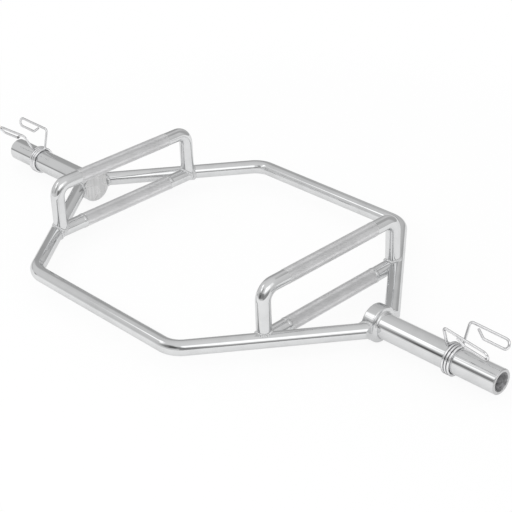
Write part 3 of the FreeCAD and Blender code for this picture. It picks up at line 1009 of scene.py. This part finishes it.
@dataclass
class RaisedHandles:
    """The bent handles on two posts, with a knurled top bar.

    Attributes:
        layout: The frame's plan.
        rise: The top bar's centre over the frame's centre.
        bend: Bend radius at the tube's centre.
        plain_end: From a post's centre to the knurled band.
        under: How far the tube lies under the knurl's foot.
        knurl_rows: Half diamonds along half the knurled band.
        points: Points round the tube.
        bend_steps: Steps of each bend.
    """

    layout: Layout
    rise: float = 0.1055
    bend: float = 0.027
    plain_end: float = 0.0585
    under: float = 0.0002
    knurl_rows: int = 82
    points: int = 72
    bend_steps: int = 28

    def build(self) -> None:
        """Bend the right handle, knurl it, copy both to the left and dress them."""
        plan = self.layout
        post = plan.post_place
        half_band = post - self.plain_end
        plain = post - self.bend - half_band
        pen = RingPen(Vector((plan.handle_place, -post, plan.height)), UPWARDS, plan.raised, self.points)
        pen.run(self.rise - self.bend)
        pen.bend(TO_BACK, self.bend, self.bend_steps)
        pen.run(plain)
        pen.recess(2 * half_band, self.under)
        pen.run(plain)
        pen.bend(-UPWARDS, self.bend, self.bend_steps)
        pen.run(self.rise - self.bend)
        tube = pen.finish("right_raised_handle_tube")
        band = KnurlBand(plan.raised, half_band, rows=self.knurl_rows).build(
            "right_raised_handle_knurl", Vector((plan.handle_place, 0, plan.height + self.rise))
        )
        dress_sides(tube, plan.across, TUBE_CHROME, "right_raised_handle")
        dress_sides(band, plan.across, KNURL_SATIN, "right_raised_handle")


@dataclass
class Welds:
    """The weld beads: hollow fillets round the sleeves, and elsewhere overlapping ripples along a seam.

    Attributes:
        layout: The frame's plan.
        ripple: Radius of one ripple.
        thickness: Half the thickness of one ripple, as a share of its radius.
        spacing: Distance between ripples.
        seat: How far a bead's middle lies out of both surfaces that it joins.
        swell: How much the ripples' sizes vary, as a share.
        swell_turn: How far that variation goes on from ripple to ripple, in radians.
        ripple_points: Points round a ripple and along it.
        crease: Edges sharper than this stay crisp on a bead, in degrees.
        face_gap: How far a bead stops short of the plate stop's outer face, in radii of a ripple.
        low_arc: First and last degree of the low handle's seam, round the handle.
        sleeve_radius: Outside of the sleeve.
        fillet_reach: How far the sleeve's fillet reaches along the sleeve.
        fillet_rise: How far it reaches up the plate stop.
        fillet_steps: Steps of the fillet's hollow.
        fillet_ripples: Ripples round the fillet.
        fillet_points: Points round the fillet for each ripple.
        fillet_ripple: How much a ripple stands proud, as a share of its radius.
        fillet_crest: The part of a ripple's width that stands proud.
        fillet_lean: How far the ripples lean round, in ripples for each metre along the sleeve.
        fillet_crease: Edges sharper than this stay crisp on the fillet, in degrees.
    """

    layout: Layout
    ripple: float = 0.0042
    thickness: float = 0.60
    spacing: float = 0.0011
    seat: float = -0.0008
    swell: float = 0.10
    swell_turn: float = 2.4
    ripple_points: tuple[int, int] = (14, 8)
    crease: float = 60.0
    face_gap: float = 0.6
    low_arc: tuple[int, int] = (-200, 20)
    sleeve_radius: float = 0.025
    fillet_reach: float = 0.006
    fillet_rise: float = 0.0075
    fillet_steps: int = 10
    fillet_ripples: int = 64
    fillet_points: int = 4
    fillet_ripple: float = 0.006
    fillet_crest: float = 0.5
    fillet_lean: float = 120.0
    fillet_crease: float = 50.0

    def build(self) -> None:
        """Lay every bead and dress it."""
        fillet = self._sleeve_fillet()
        dress_sides(fillet, MIRROR_X, WELD_CHROME, "right_sleeve_weld")
        model = self._one_ripple()
        lift = UPWARDS * self.layout.height
        seams = {
            "collar_weld": self._collar_seam(),
            "low_handle_weld": self._low_handle_seam(),
            "post_weld": self._post_seam(),
        }
        for side, mirror_x in RIGHT_AND_LEFT:
            for end, mirror_y in REAR_AND_FRONT:
                flip = Matrix.Diagonal((mirror_x, mirror_y, 1))
                for weld, seam in seams.items():
                    points = [flip @ point + lift for point in seam]
                    self._lay("%s_%s_%s" % (side, end, weld), points, model)
        bpy.data.objects.remove(model)

    def _one_ripple(self) -> bpy.types.Object:
        """The shape of one ripple, a rounded disc across the X axis.

        Returns:
            The model that every ripple is a copy of.
        """
        clear_selection()
        around, along = self.ripple_points
        bpy.ops.mesh.primitive_uv_sphere_add(segments=around, ring_count=along, radius=self.ripple)
        bpy.ops.transform.resize(value=(self.thickness, 1.0, 1.0))
        bpy.ops.object.transform_apply(location=True, rotation=True, scale=True)
        model = bpy.context.object
        smooth(model)
        return model

    def _lay(self, node: str, points: Sequence[Vector], model: bpy.types.Object) -> None:
        """Lay a bead of ripples along a seam.

        Args:
            node: The bead's solid.
            points: Points close together along the seam.
            model: The shape of one ripple.
        """
        ripples = []
        travelled = self.spacing
        for before, here in zip(points, points[1:]):
            travelled += (here - before).length
            if travelled < self.spacing:
                continue
            travelled -= self.spacing
            ripple = model.copy()
            ripple.data = model.data.copy()
            bpy.context.scene.collection.objects.link(ripple)
            swell = 1 + self.swell * math.sin(len(ripples) * self.swell_turn)
            turn = (here - before).to_track_quat("X", "Z").to_matrix().to_4x4()
            ripple.matrix_world = Matrix.Translation(here) @ turn @ Matrix.Scale(swell, 4)
            ripples.append(ripple)
        bead = joined(ripples, node + "_ripples")
        settle(bead)
        smooth(bead, self.crease)
        dress(bead, WELD_CHROME, node)

    def _sleeve_fillet(self) -> bpy.types.Object:
        """The hollow ring of weld between the right sleeve and its plate stop, rippled round.

        Returns:
            The fillet.
        """
        plan = self.layout
        foot = Vector((plan.collar_outer, 0, plan.height))
        inside = self.sleeve_radius - self.fillet_reach / 2
        pen = RingPen(foot, ALONG_BAR, inside, self.fillet_ripples * self.fillet_points)
        pen.run(0, self.sleeve_radius + self.fillet_rise)
        for i in range(1, self.fillet_steps + 1):
            turn = math.pi / 2 * i / self.fillet_steps
            place = plan.collar_outer + self.fillet_reach * (1 - math.cos(turn))
            out = self.sleeve_radius + self.fillet_rise * (1 - math.sin(turn))
            pen.run(place - pen.at.x, out)
        pen.run(0, inside)
        fillet = pen.finish("right_sleeve_weld_fillet")

        def crest(vertex: bpy.types.MeshVertex) -> bool:
            """Find the crests of the ripples.

            Args:
                vertex: A vertex of the fillet.

            Returns:
                Whether it lies on a crest.
            """
            out = vertex.co - foot
            turn = math.atan2(out.z, out.y) / math.tau * self.fillet_ripples + out.x * self.fillet_lean
            proud = math.hypot(out.y, out.z) > self.sleeve_radius + SKIN
            return proud and turn % 1 < self.fillet_crest and out.x > SKIN

        select_where(fillet, Element.VERT, crest)
        grow = 1 + self.fillet_ripple
        bpy.ops.transform.resize(value=(1, grow, grow), center_override=foot)
        bpy.ops.object.mode_set(mode="OBJECT")
        smooth(fillet, self.fillet_crease)
        return fillet

    def _side(self) -> tuple[Vector, Vector]:
        """The directions of the right rear slanting tube.

        Returns:
            Its way from its stop, and the way out of the hexagon.
        """
        slant = self.layout.slant
        run = Vector((-math.cos(slant), math.sin(slant), 0))
        return run, Vector((math.sin(slant), math.cos(slant), 0))

    def _collar_seam(self) -> list[Vector]:
        """The seam of a slanting tube on its plate stop's rim, round the side away from the sleeve.

        Returns:
            Points along the seam, from the frame's centre plane.
        """
        plan = self.layout
        run, side = self._side()
        tube = plan.tube + self.seat
        rim = plan.collar + self.seat
        seam = []
        for i in range(FULL_TURN + 1):
            angle = math.tau * i / FULL_TURN
            up = tube * math.sin(angle)
            out = tube * math.cos(angle)
            back = (math.sqrt(rim ** 2 - up ** 2) - out * side.y) / run.y
            point = Vector((plan.aim, 0, up)) + run * back + side * out
            if point.x < plan.collar_outer - self.ripple * self.face_gap:
                seam.append(point)
        return seam

    def _post_seam(self) -> list[Vector]:
        """The ring round a post's foot, over the slanting tube and the low handle's end.

        Returns:
            Points along the seam, from the frame's centre plane.
        """
        plan = self.layout
        _, side = self._side()
        post = plan.raised + self.seat
        seam = []
        for i in range(FULL_TURN + 1):
            angle = math.tau * i / FULL_TURN
            x = plan.handle_place + post * math.cos(angle)
            y = plan.post_place + post * math.sin(angle)
            off = (x - plan.aim) * side.x + y * side.y
            over_tube = math.sqrt(max((plan.tube + self.seat) ** 2 - off ** 2, 0))
            over_handle = math.sqrt(max((plan.low + self.seat) ** 2 - (x - plan.handle_place) ** 2, 0))
            seam.append(Vector((x, y, max(over_tube, over_handle))))
        return seam

    def _low_handle_seam(self) -> list[Vector]:
        """The seam of a low handle's end on the inside of the slanting tube, round its lower half.

        Returns:
            Points along the seam, from the frame's centre plane.
        """
        plan = self.layout
        _, side = self._side()
        low = plan.low + self.seat
        tube = plan.tube + self.seat
        first, last = self.low_arc
        seam = []
        for i in range(first, last + 1):
            angle = math.radians(i)
            x = plan.handle_place + low * math.cos(angle)
            up = low * math.sin(angle)
            off = -math.sqrt(max(tube ** 2 - up ** 2, 0))
            seam.append(Vector((x, (off - (x - plan.aim) * side.x) / side.y, up)))
        return seam


# Spring clips


@dataclass(frozen=True)
class Grip:
    """One wire handle of a clip.

    Attributes:
        side: -1 for the leg nearer the plate stop, 1 for the leg nearer the sleeve's end.
        length: Leg to tip.
        back: From the leg to the end of its lower run.
        toe: Degrees that it points away from its partner.
    """

    side: int
    length: float
    back: float
    toe: float


@dataclass
class SpringClip:
    """A wire clip on a sleeve, with a coil of three turns and two handles.

    It is modelled with the sleeve along X, the handles' tips to +X and the inner leg at zero.

    Attributes:
        name: Its side of the bar.
        place: Its inner leg, from the bar's middle.
        turn: Degrees that it is turned to its own back.
        facing: Degrees that it is turned about Z.
        inner: The handle nearer the plate stop.
        outer: The handle nearer the sleeve's end.
        height: The sleeve's centre over the floor.
        wire: Radius of the wire.
        coil: Radius of the coil at the wire's middle.
        pitch: Distance between turns.
        turns: Whole turns.
        opening: Degrees between the legs.
        bend: Bend radius at the wire's middle.
        rise: Top of the handles above the middle of the coil's wire.
        width: Between the two runs of a handle.
        hook: Length of the bent end.
        hook_angle: Degrees that the bent end rises.
        tip: Radius of the wire's cut end, as a share of the wire's.
        tip_length: Length over which the wire narrows to it, in radii of the wire.
        points: Points round the wire.
        coil_steps: Steps of half the coil.
        leg_steps: Steps of the bend from the coil to a leg.
        corner_steps: Steps of a handle's square bends.
        hook_steps: Steps of the hook's bend.
    """

    name: str
    place: float
    turn: float
    facing: float
    inner: Grip
    outer: Grip
    height: float = 0.036
    wire: float = 0.0025
    coil: float = 0.0281
    pitch: float = 0.0063
    turns: int = 3
    opening: float = 40.0
    bend: float = 0.007
    rise: float = 0.0484
    width: float = 0.0186
    hook: float = 0.0208
    hook_angle: float = 38.0
    tip: float = 0.7
    tip_length: float = 1 / 3
    points: int = 20
    coil_steps: int = 132
    leg_steps: int = 8
    corner_steps: int = 10
    hook_steps: int = 6

    @property
    def stub(self) -> float:
        """Length of the straight wire between the coil and a leg's bend."""
        return 2 * self.wire

    @property
    def lead(self) -> float:
        """The angle from a leg to where its wire first lies on the coil's circle, in radians."""
        arm = self.coil + self.bend
        return math.atan2(self.stub, arm) + math.asin(self.bend / math.hypot(arm, self.stub))

    @property
    def sweep(self) -> float:
        """The whole angle of the coil, in radians."""
        return math.radians(self.opening) - 2 * self.lead + math.tau * self.turns

    @property
    def length(self) -> float:
        """The coil's length along the sleeve, between the middles of its first and last wire."""
        return self.pitch * self.sweep / math.tau

    def build(self) -> None:
        """Wind the coil, bend the handles, set them on the sleeve and dress them."""
        clip = self.name + "_clip"
        place = (
            Matrix.Translation((self.place * math.cos(math.radians(self.facing)), 0, self.height))
            @ Matrix.Rotation(math.radians(self.facing), 4, "Z")
            @ Matrix.Rotation(math.radians(-self.turn), 4, "X")
        )
        inner_half = self._half_coil()
        across = Matrix.Translation((self.length, 0, 0)) @ Matrix.Rotation(math.pi, 4, "Z")
        outer_half = twin(inner_half, "outer_half", across)
        for half, part, end in (
            (inner_half, "inner", Vector((self.wire, 0, 0))),
            (outer_half, "outer", Vector((self.length - self.wire, 0, 0))),
        ):
            settle(half, place)
            smooth(half)
            half.name = "%s_coil_%s_half" % (clip, part)
            dress(half, SPRING_WIRE, clip + "_coil", None)
            "%s_%s_grip" % (clip, part)
            place @ end
            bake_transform(half)
        for part, grip in (("inner", self.inner), ("outer", self.outer)):
            name = "%s_%s" % (clip, part)
            handle = self._handle(grip, name + "_handle_wire")
            settle(handle, place)
            smooth(handle)
            dress(handle, SPRING_WIRE, name + "_handle", name + "_grip")

    def _out(self, angle: float) -> Vector:
        """The way out from the sleeve at an angle from the top."""
        return Vector((0, math.sin(angle), math.cos(angle)))

    def _round(self, angle: float) -> Vector:
        """The way round the sleeve at an angle from the top."""
        return Vector((0, math.cos(angle), -math.sin(angle)))

    def _half_coil(self) -> bpy.types.Object:
        """The coil from its middle to the inner leg's stub.

        Returns:
            The half coil, in the clip's own frame.
        """
        first = -math.radians(self.opening) / 2 + self.lead
        middle = first + self.sweep / 2
        start = self._out(middle) * self.coil + Vector((self.length / 2, 0, 0))
        pen = RingPen(start, -self._round(middle), self.wire, self.points)
        bpy.ops.object.mode_set(mode="OBJECT")
        screw = pen.piece.modifiers.new("turns", "SCREW")
        screw.axis = "X"
        screw.angle = self.sweep / 2
        screw.screw_offset = -self.length / 2
        screw.steps = self.coil_steps
        screw.render_steps = self.coil_steps
        bpy.ops.object.modifier_apply(modifier=screw.name)
        stub_way = -self._round(first)
        foot = self._out(first) * self.coil

        def last_ring(vertex: bpy.types.MeshVertex) -> bool:
            """Whether a vertex belongs to the coil's last ring."""
            return (vertex.co - foot).length < self.wire + SKIN

        select_where(pen.piece, Element.VERT, last_ring)
        bpy.ops.mesh.extrude_region_move(TRANSFORM_OT_translate={"value": stub_way * self.stub})
        return pen.finish("inner_half")

    def _handle(self, grip: Grip, name: str) -> bpy.types.Object:
        """One wire handle from the coil's stub to its hook.

        Args:
            grip: Which handle.
            name: The piece's name.

        Returns:
            The handle, in the clip's own frame.
        """
        angle = grip.side * math.radians(self.opening) / 2
        up = self._out(angle)
        aside = self._round(angle) * grip.side
        toe = math.radians(grip.toe)
        along = ALONG_BAR * math.cos(toe) + aside * math.sin(toe)
        leg = ALONG_BAR * (self.length if grip.side > 0 else 0)
        lead = self.lead
        stub_out = self.coil * math.cos(lead) + self.stub * math.sin(lead)
        stub_aside = self.coil * math.sin(lead) - self.stub * math.cos(lead)
        top = self.coil + self.rise
        foot = stub_out + self.bend * math.cos(lead)
        hook = math.radians(self.hook_angle)
        hook_bend = self.bend * math.tan(hook / 2)
        loop = self.width / 2
        pen = RingPen(
            leg - aside * stub_aside + up * stub_out,
            aside * math.cos(lead) + up * math.sin(lead),
            self.wire,
            self.points,
        )
        pen.bend(up, self.bend, self.leg_steps)
        pen.run(top - self.bend - foot)
        pen.bend(along, self.bend, self.corner_steps)
        pen.run(grip.length - loop - self.bend)
        pen.bend(-up, loop, self.corner_steps)
        pen.bend(-along, loop, self.corner_steps)
        pen.run(grip.length - loop - grip.back - hook_bend)
        pen.bend(up * math.sin(hook) - along * math.cos(hook), self.bend, self.hook_steps)
        tip_length = self.wire * self.tip_length
        pen.run(self.hook - hook_bend - tip_length)
        pen.run(tip_length, self.wire * self.tip)
        return pen.finish(name)


# Studio


def swung(first: Vector, second: Vector, angle: float) -> tuple[Vector, Vector]:
    """Swing two directions that are at right angles.

    Args:
        first: One direction.
        second: The direction that it swings towards.
        angle: How far, in radians.

    Returns:
        Both directions, swung.
    """
    cosine = math.cos(angle)
    sine = math.sin(angle)
    return first * cosine + second * sine, second * cosine - first * sine


@dataclass(frozen=True)
class Panel:
    """A soft-edged patch of the room's walls, lit or dark.

    Attributes:
        azimuth: Its middle, in degrees from the camera's side, positive to the right sleeve.
        elevation: Its middle, in degrees above the floor.
        half_width: Half its width, in degrees.
        half_height: Half its height, in degrees.
        blur: Width of its soft edge, in degrees.
        level: How bright it is.
    """

    azimuth: float
    elevation: float
    half_width: float
    half_height: float
    blur: float
    level: float


@dataclass(frozen=True)
class Card:
    """A dark card with soft edges that stands beside the object, for polished metal to show.

    Attributes:
        place: Its middle.
        half_width: Half its width, along the bar.
        half_height: Half its height.
        core: The share of both that is fully dark.
        level: How bright it is.
    """

    place: tuple[float, float, float]
    half_width: float
    half_height: float
    core: float
    level: float


@dataclass
class Studio:
    """A pale floor, soft light all round, what polished metal sees of the room, and the camera.

    Attributes:
        floor_radius: Radius of the floor.
        floor_colour: Colour of the floor.
        floor_fade: Width of its rim, over which it turns plain white.
        floor_white: Share of plain white in what the camera sees of the floor.
        floor_gleam: The same share in what polished metal and glass show of it.
        floor_points: Points round the floor.
        fill: Strength of the light from all round.
        room_radius: Radius of the room that polished metal reflects.
        room_points: Points round the room and up its walls.
        wall: Brightness of its walls at the floor and under the ceiling.
        wall_to_camera: How much brighter they are on the camera's side.
        panels: Soft boxes and dark patches on its walls.
        cards: Dark cards in front of the bar.
        box_place: The middle of the long soft box.
        box_size: Its length and its width.
        box_level: How bright it is.
        eye: The camera's place.
        aim: The bar's middle.
        yaw: The camera's turn to the right from there, in radians.
        pitch: Its turn upwards.
        roll: Its turn about its own line of sight.
        lens: Focal length, in millimetres.
        sensor: Width of the sensor, in millimetres.
        sight: How far the camera sees.
    """

    floor_radius: float = 1.35
    floor_fade: float = 0.5
    floor_colour: float = 0.95
    floor_white: float = 0.90
    floor_gleam: float = 0.45
    floor_points: int = 64
    fill: float = 0.93
    room_radius: float = 5.0
    room_points: tuple[int, int] = (96, 48)
    wall: tuple[float, float] = (0.615, 0.785)
    wall_to_camera: float = 0.09
    panels: tuple[Panel, ...] = (
        Panel(-128, 26, 26, 10, 14, 0.74),
        Panel(-168, 8, 12, 26, 14, 0.45),
        Panel(120, 15, 14, 36, 10, 0.465),
        Panel(-86, 1, 34, 3, 6, 0.82),
        Panel(-102, 3.5, 4, 2, 4, 0.36),
        Panel(16, 3, 24, 8, 8, 0.33),
        Panel(-46, 32, 7, 14, 10, 0.42),
        Panel(18, 39, 22, 9, 10, 1.42),
        Panel(48, 40, 6, 8, 12, 1.07),
        Panel(-98, 48, 9, 4, 6, 1.54),
        Panel(-76, 40, 9, 3, 6, 1.35),
    )
    cards: tuple[Card, ...] = (
        Card((0.375, -0.60, 0.245), 0.45, 0.15, 0.50, 0.26),
        Card((0.262, -0.53, 0.185), 0.08, 0.08, 0.50, 0.12),
    )
    box_place: tuple[float, float, float] = (0.45, -1.6, 1.22)
    box_size: tuple[float, float] = (3.5, 0.55)
    box_level: float = 1.5
    eye: tuple[float, float, float] = (1.8206721, -1.6290165, 1.4125864)
    aim: tuple[float, float, float] = (0.0, 0.0, 0.036)
    yaw: float = 0.0248
    pitch: float = -0.008
    roll: float = -0.0511
    lens: float = 95.178
    sensor: float = 36.0
    sight: float = 100.0

    def build(self) -> None:
        """Set up the floor, the light and the camera."""
        bpy.context.scene.view_settings.view_transform = "Standard"
        self._floor()
        self._world()
        self._room()
        for card in self.cards:
            self._dark_card(card)
        self._strip_light()
        self._camera()

    def _shown(self, tree: ShaderTree, direct: float = 1.0, mirrored: float = 1.0) -> Signal:
        """What the camera sees, as against light that only falls on a surface.

        Args:
            tree: The material's or the world's tree.
            direct: The value for what the camera sees directly.
            mirrored: The value for what it sees in polished metal or through glass.

        Returns:
            One of the two values, or 0 for other light.
        """
        rays = tree.node("ShaderNodeLightPath")
        camera, glossy, through = (
            Signal(tree, rays.outputs[name])
            for name in ("Is Camera Ray", "Is Glossy Ray", "Is Transmission Ray")
        )
        return tree.math("MAXIMUM", camera * direct, tree.math("MAXIMUM", glossy, through) * mirrored)

    def _floor(self) -> None:
        """A pale floor that keeps the object's shadow."""
        clear_selection()
        bpy.ops.mesh.primitive_circle_add(
            vertices=self.floor_points, radius=self.floor_radius, fill_type="NGON"
        )
        floor = bpy.context.object
        floor.name = "floor"
        material, tree = new_shader("pale_floor")
        grey = self.floor_colour
        paper = tree.signal("ShaderNodeBsdfDiffuse", {}, {"Color": (grey, grey, grey, 1.0)})
        out = tree.signal("ShaderNodeVectorMath", {"operation": "LENGTH"}, {0: tree.place()}, "Value")
        rim = tree.ramp(out, self.floor_radius - self.floor_fade, self.floor_radius)
        middle = self._shown(tree, self.floor_white, self.floor_gleam)
        share = middle + (self._shown(tree) - middle) * rim
        tree.show(tree.signal("ShaderNodeMixShader", {}, {0: share, 1: paper, 2: tree.glow(1.0)}))
        floor.data.materials.append(material)

    def _world(self) -> None:
        """Even light all round, which shows as white."""
        world = bpy.data.worlds.new("soft_white")
        bpy.context.scene.world = world
        world.use_nodes = True
        tree = ShaderTree(world.node_tree)
        strength = self._shown(tree) * (1 - self.fill) + self.fill
        light = tree.signal("ShaderNodeBackground", {}, {"Color": WHITE, "Strength": strength})
        tree.show(light, "ShaderNodeOutputWorld")

    def _room(self) -> None:
        """The walls and the ceiling as polished metal reflects them, with their lit and dark panels."""
        clear_selection()
        around, upwards = self.room_points
        bpy.ops.mesh.primitive_uv_sphere_add(
            segments=around, ring_count=upwards, radius=self.room_radius
        )
        room = bpy.context.object
        room.name = "room"
        material, tree = new_shader("room_walls")
        along, across, up = (part * (1 / self.room_radius) for part in tree.split(tree.place()))
        flat = math.hypot(self.eye[0], self.eye[1])
        to_camera = (self.eye[0] / flat, self.eye[1] / flat)
        towards = along * to_camera[0] + across * to_camera[1]
        aside = across * to_camera[0] - along * to_camera[1]
        azimuth = tree.math("ARCTAN2", aside, towards) * math.degrees(1)
        elevation = tree.math("ARCSINE", up) * math.degrees(1)
        low, high = self.wall
        level = up * (high - low) + towards * self.wall_to_camera + low
        for panel in self.panels:
            off_side = tree.math("PINGPONG", azimuth - panel.azimuth, FULL_TURN / 2)
            off_height = tree.math("ABSOLUTE", elevation - panel.elevation)
            inside = tree.ramp(
                off_side, panel.half_width + panel.blur, panel.half_width
            ) * tree.ramp(off_height, panel.half_height + panel.blur, panel.half_height)
            level = level + (panel.level - level) * inside
        tree.show(tree.glow(level))
        room.data.materials.append(material)
        self._only_mirrored(room)

    def _dark_card(self, card: Card) -> None:
        """Stand a card up, which thins out to nothing at its edges.

        Args:
            card: Its place, size and level.
        """
        clear_selection()
        bpy.ops.mesh.primitive_plane_add(size=2, location=card.place, rotation=(math.pi / 2, 0, 0))
        sheet = bpy.context.object
        sheet.name = "dark_card"
        sheet.scale = (card.half_width, card.half_height, 1)
        material, tree = new_shader("dark_card")
        aside, up = (tree.math("ABSOLUTE", part) for part in tree.split(tree.place())[:2])
        inside = tree.ramp(aside, 1, card.core) * tree.ramp(up, 1, card.core)
        clear = tree.signal("ShaderNodeBsdfTransparent")
        grey = tree.glow(card.level)
        tree.show(tree.signal("ShaderNodeMixShader", {}, {0: inside, 1: clear, 2: grey}))
        sheet.data.materials.append(material)
        self._only_mirrored(sheet)

    def _only_mirrored(self, thing: bpy.types.Object) -> None:
        """Put a thing on the stage that nothing but polished metal shows.

        Args:
            thing: The thing.
        """
        thing.visible_camera = False
        thing.visible_diffuse = False
        thing.visible_transmission = False
        thing.visible_shadow = False

    def _strip_light(self) -> None:
        """A long soft box on the camera's side."""
        lamp = bpy.data.lights.new("soft_box", "AREA")
        lamp.shape = "RECTANGLE"
        lamp.size, lamp.size_y = self.box_size
        lamp.energy = self.box_level * math.pi * lamp.size * lamp.size_y
        box = bpy.data.objects.new("soft_box", lamp)
        bpy.context.scene.collection.objects.link(box)
        box.location = self.box_place
        back = Vector((0, *self.box_place[1:]))
        box.rotation_euler = back.to_track_quat("Z", "Y").to_euler()
        box.visible_camera = False
        box.visible_glossy = False

    def _camera(self) -> None:
        """The camera where the photograph was taken from."""
        eye = Vector(self.eye)
        forward = (Vector(self.aim) - eye).normalized()
        right = forward.cross(UPWARDS).normalized()
        up = right.cross(forward)
        forward, right = swung(forward, right, self.yaw)
        forward, up = swung(forward, up, self.pitch)
        right, up = swung(right, up, self.roll)
        camera = bpy.data.objects.new("camera", bpy.data.cameras.new("camera"))
        bpy.context.scene.collection.objects.link(camera)
        camera.data.lens = self.lens
        camera.data.sensor_width = self.sensor
        camera.data.clip_end = self.sight
        turn = Matrix((right, up, -forward)).transposed().to_4x4()
        camera.matrix_world = Matrix.Translation(eye) @ turn
        bpy.context.scene.camera = camera


def main() -> None:
    """Build the bar, its clips and the studio."""
    logging.basicConfig(level=logging.INFO, format="%(name)s: %(message)s")
    layout = Layout()
    for assembly in (FrameTubes, Collars, Sleeves, LowHandles, RaisedHandles, Welds):
        assembly(layout).build()
    SpringClip(
        "right",
        place=0.5965,
        turn=3.6,
        facing=0.0,
        inner=Grip(side=-1, length=0.104, back=0.0483, toe=6.5),
        outer=Grip(side=1, length=0.092, back=0.0373, toe=-4.6),
    ).build()
    SpringClip(
        "left",
        place=0.6125,
        turn=5.7,
        facing=180.0,
        inner=Grip(side=-1, length=0.104, back=0.0483, toe=0.6),
        outer=Grip(side=1, length=0.092, back=0.0373, toe=2.6),
    ).build()
    Studio().build()


if __name__ == "__main__":
    main()
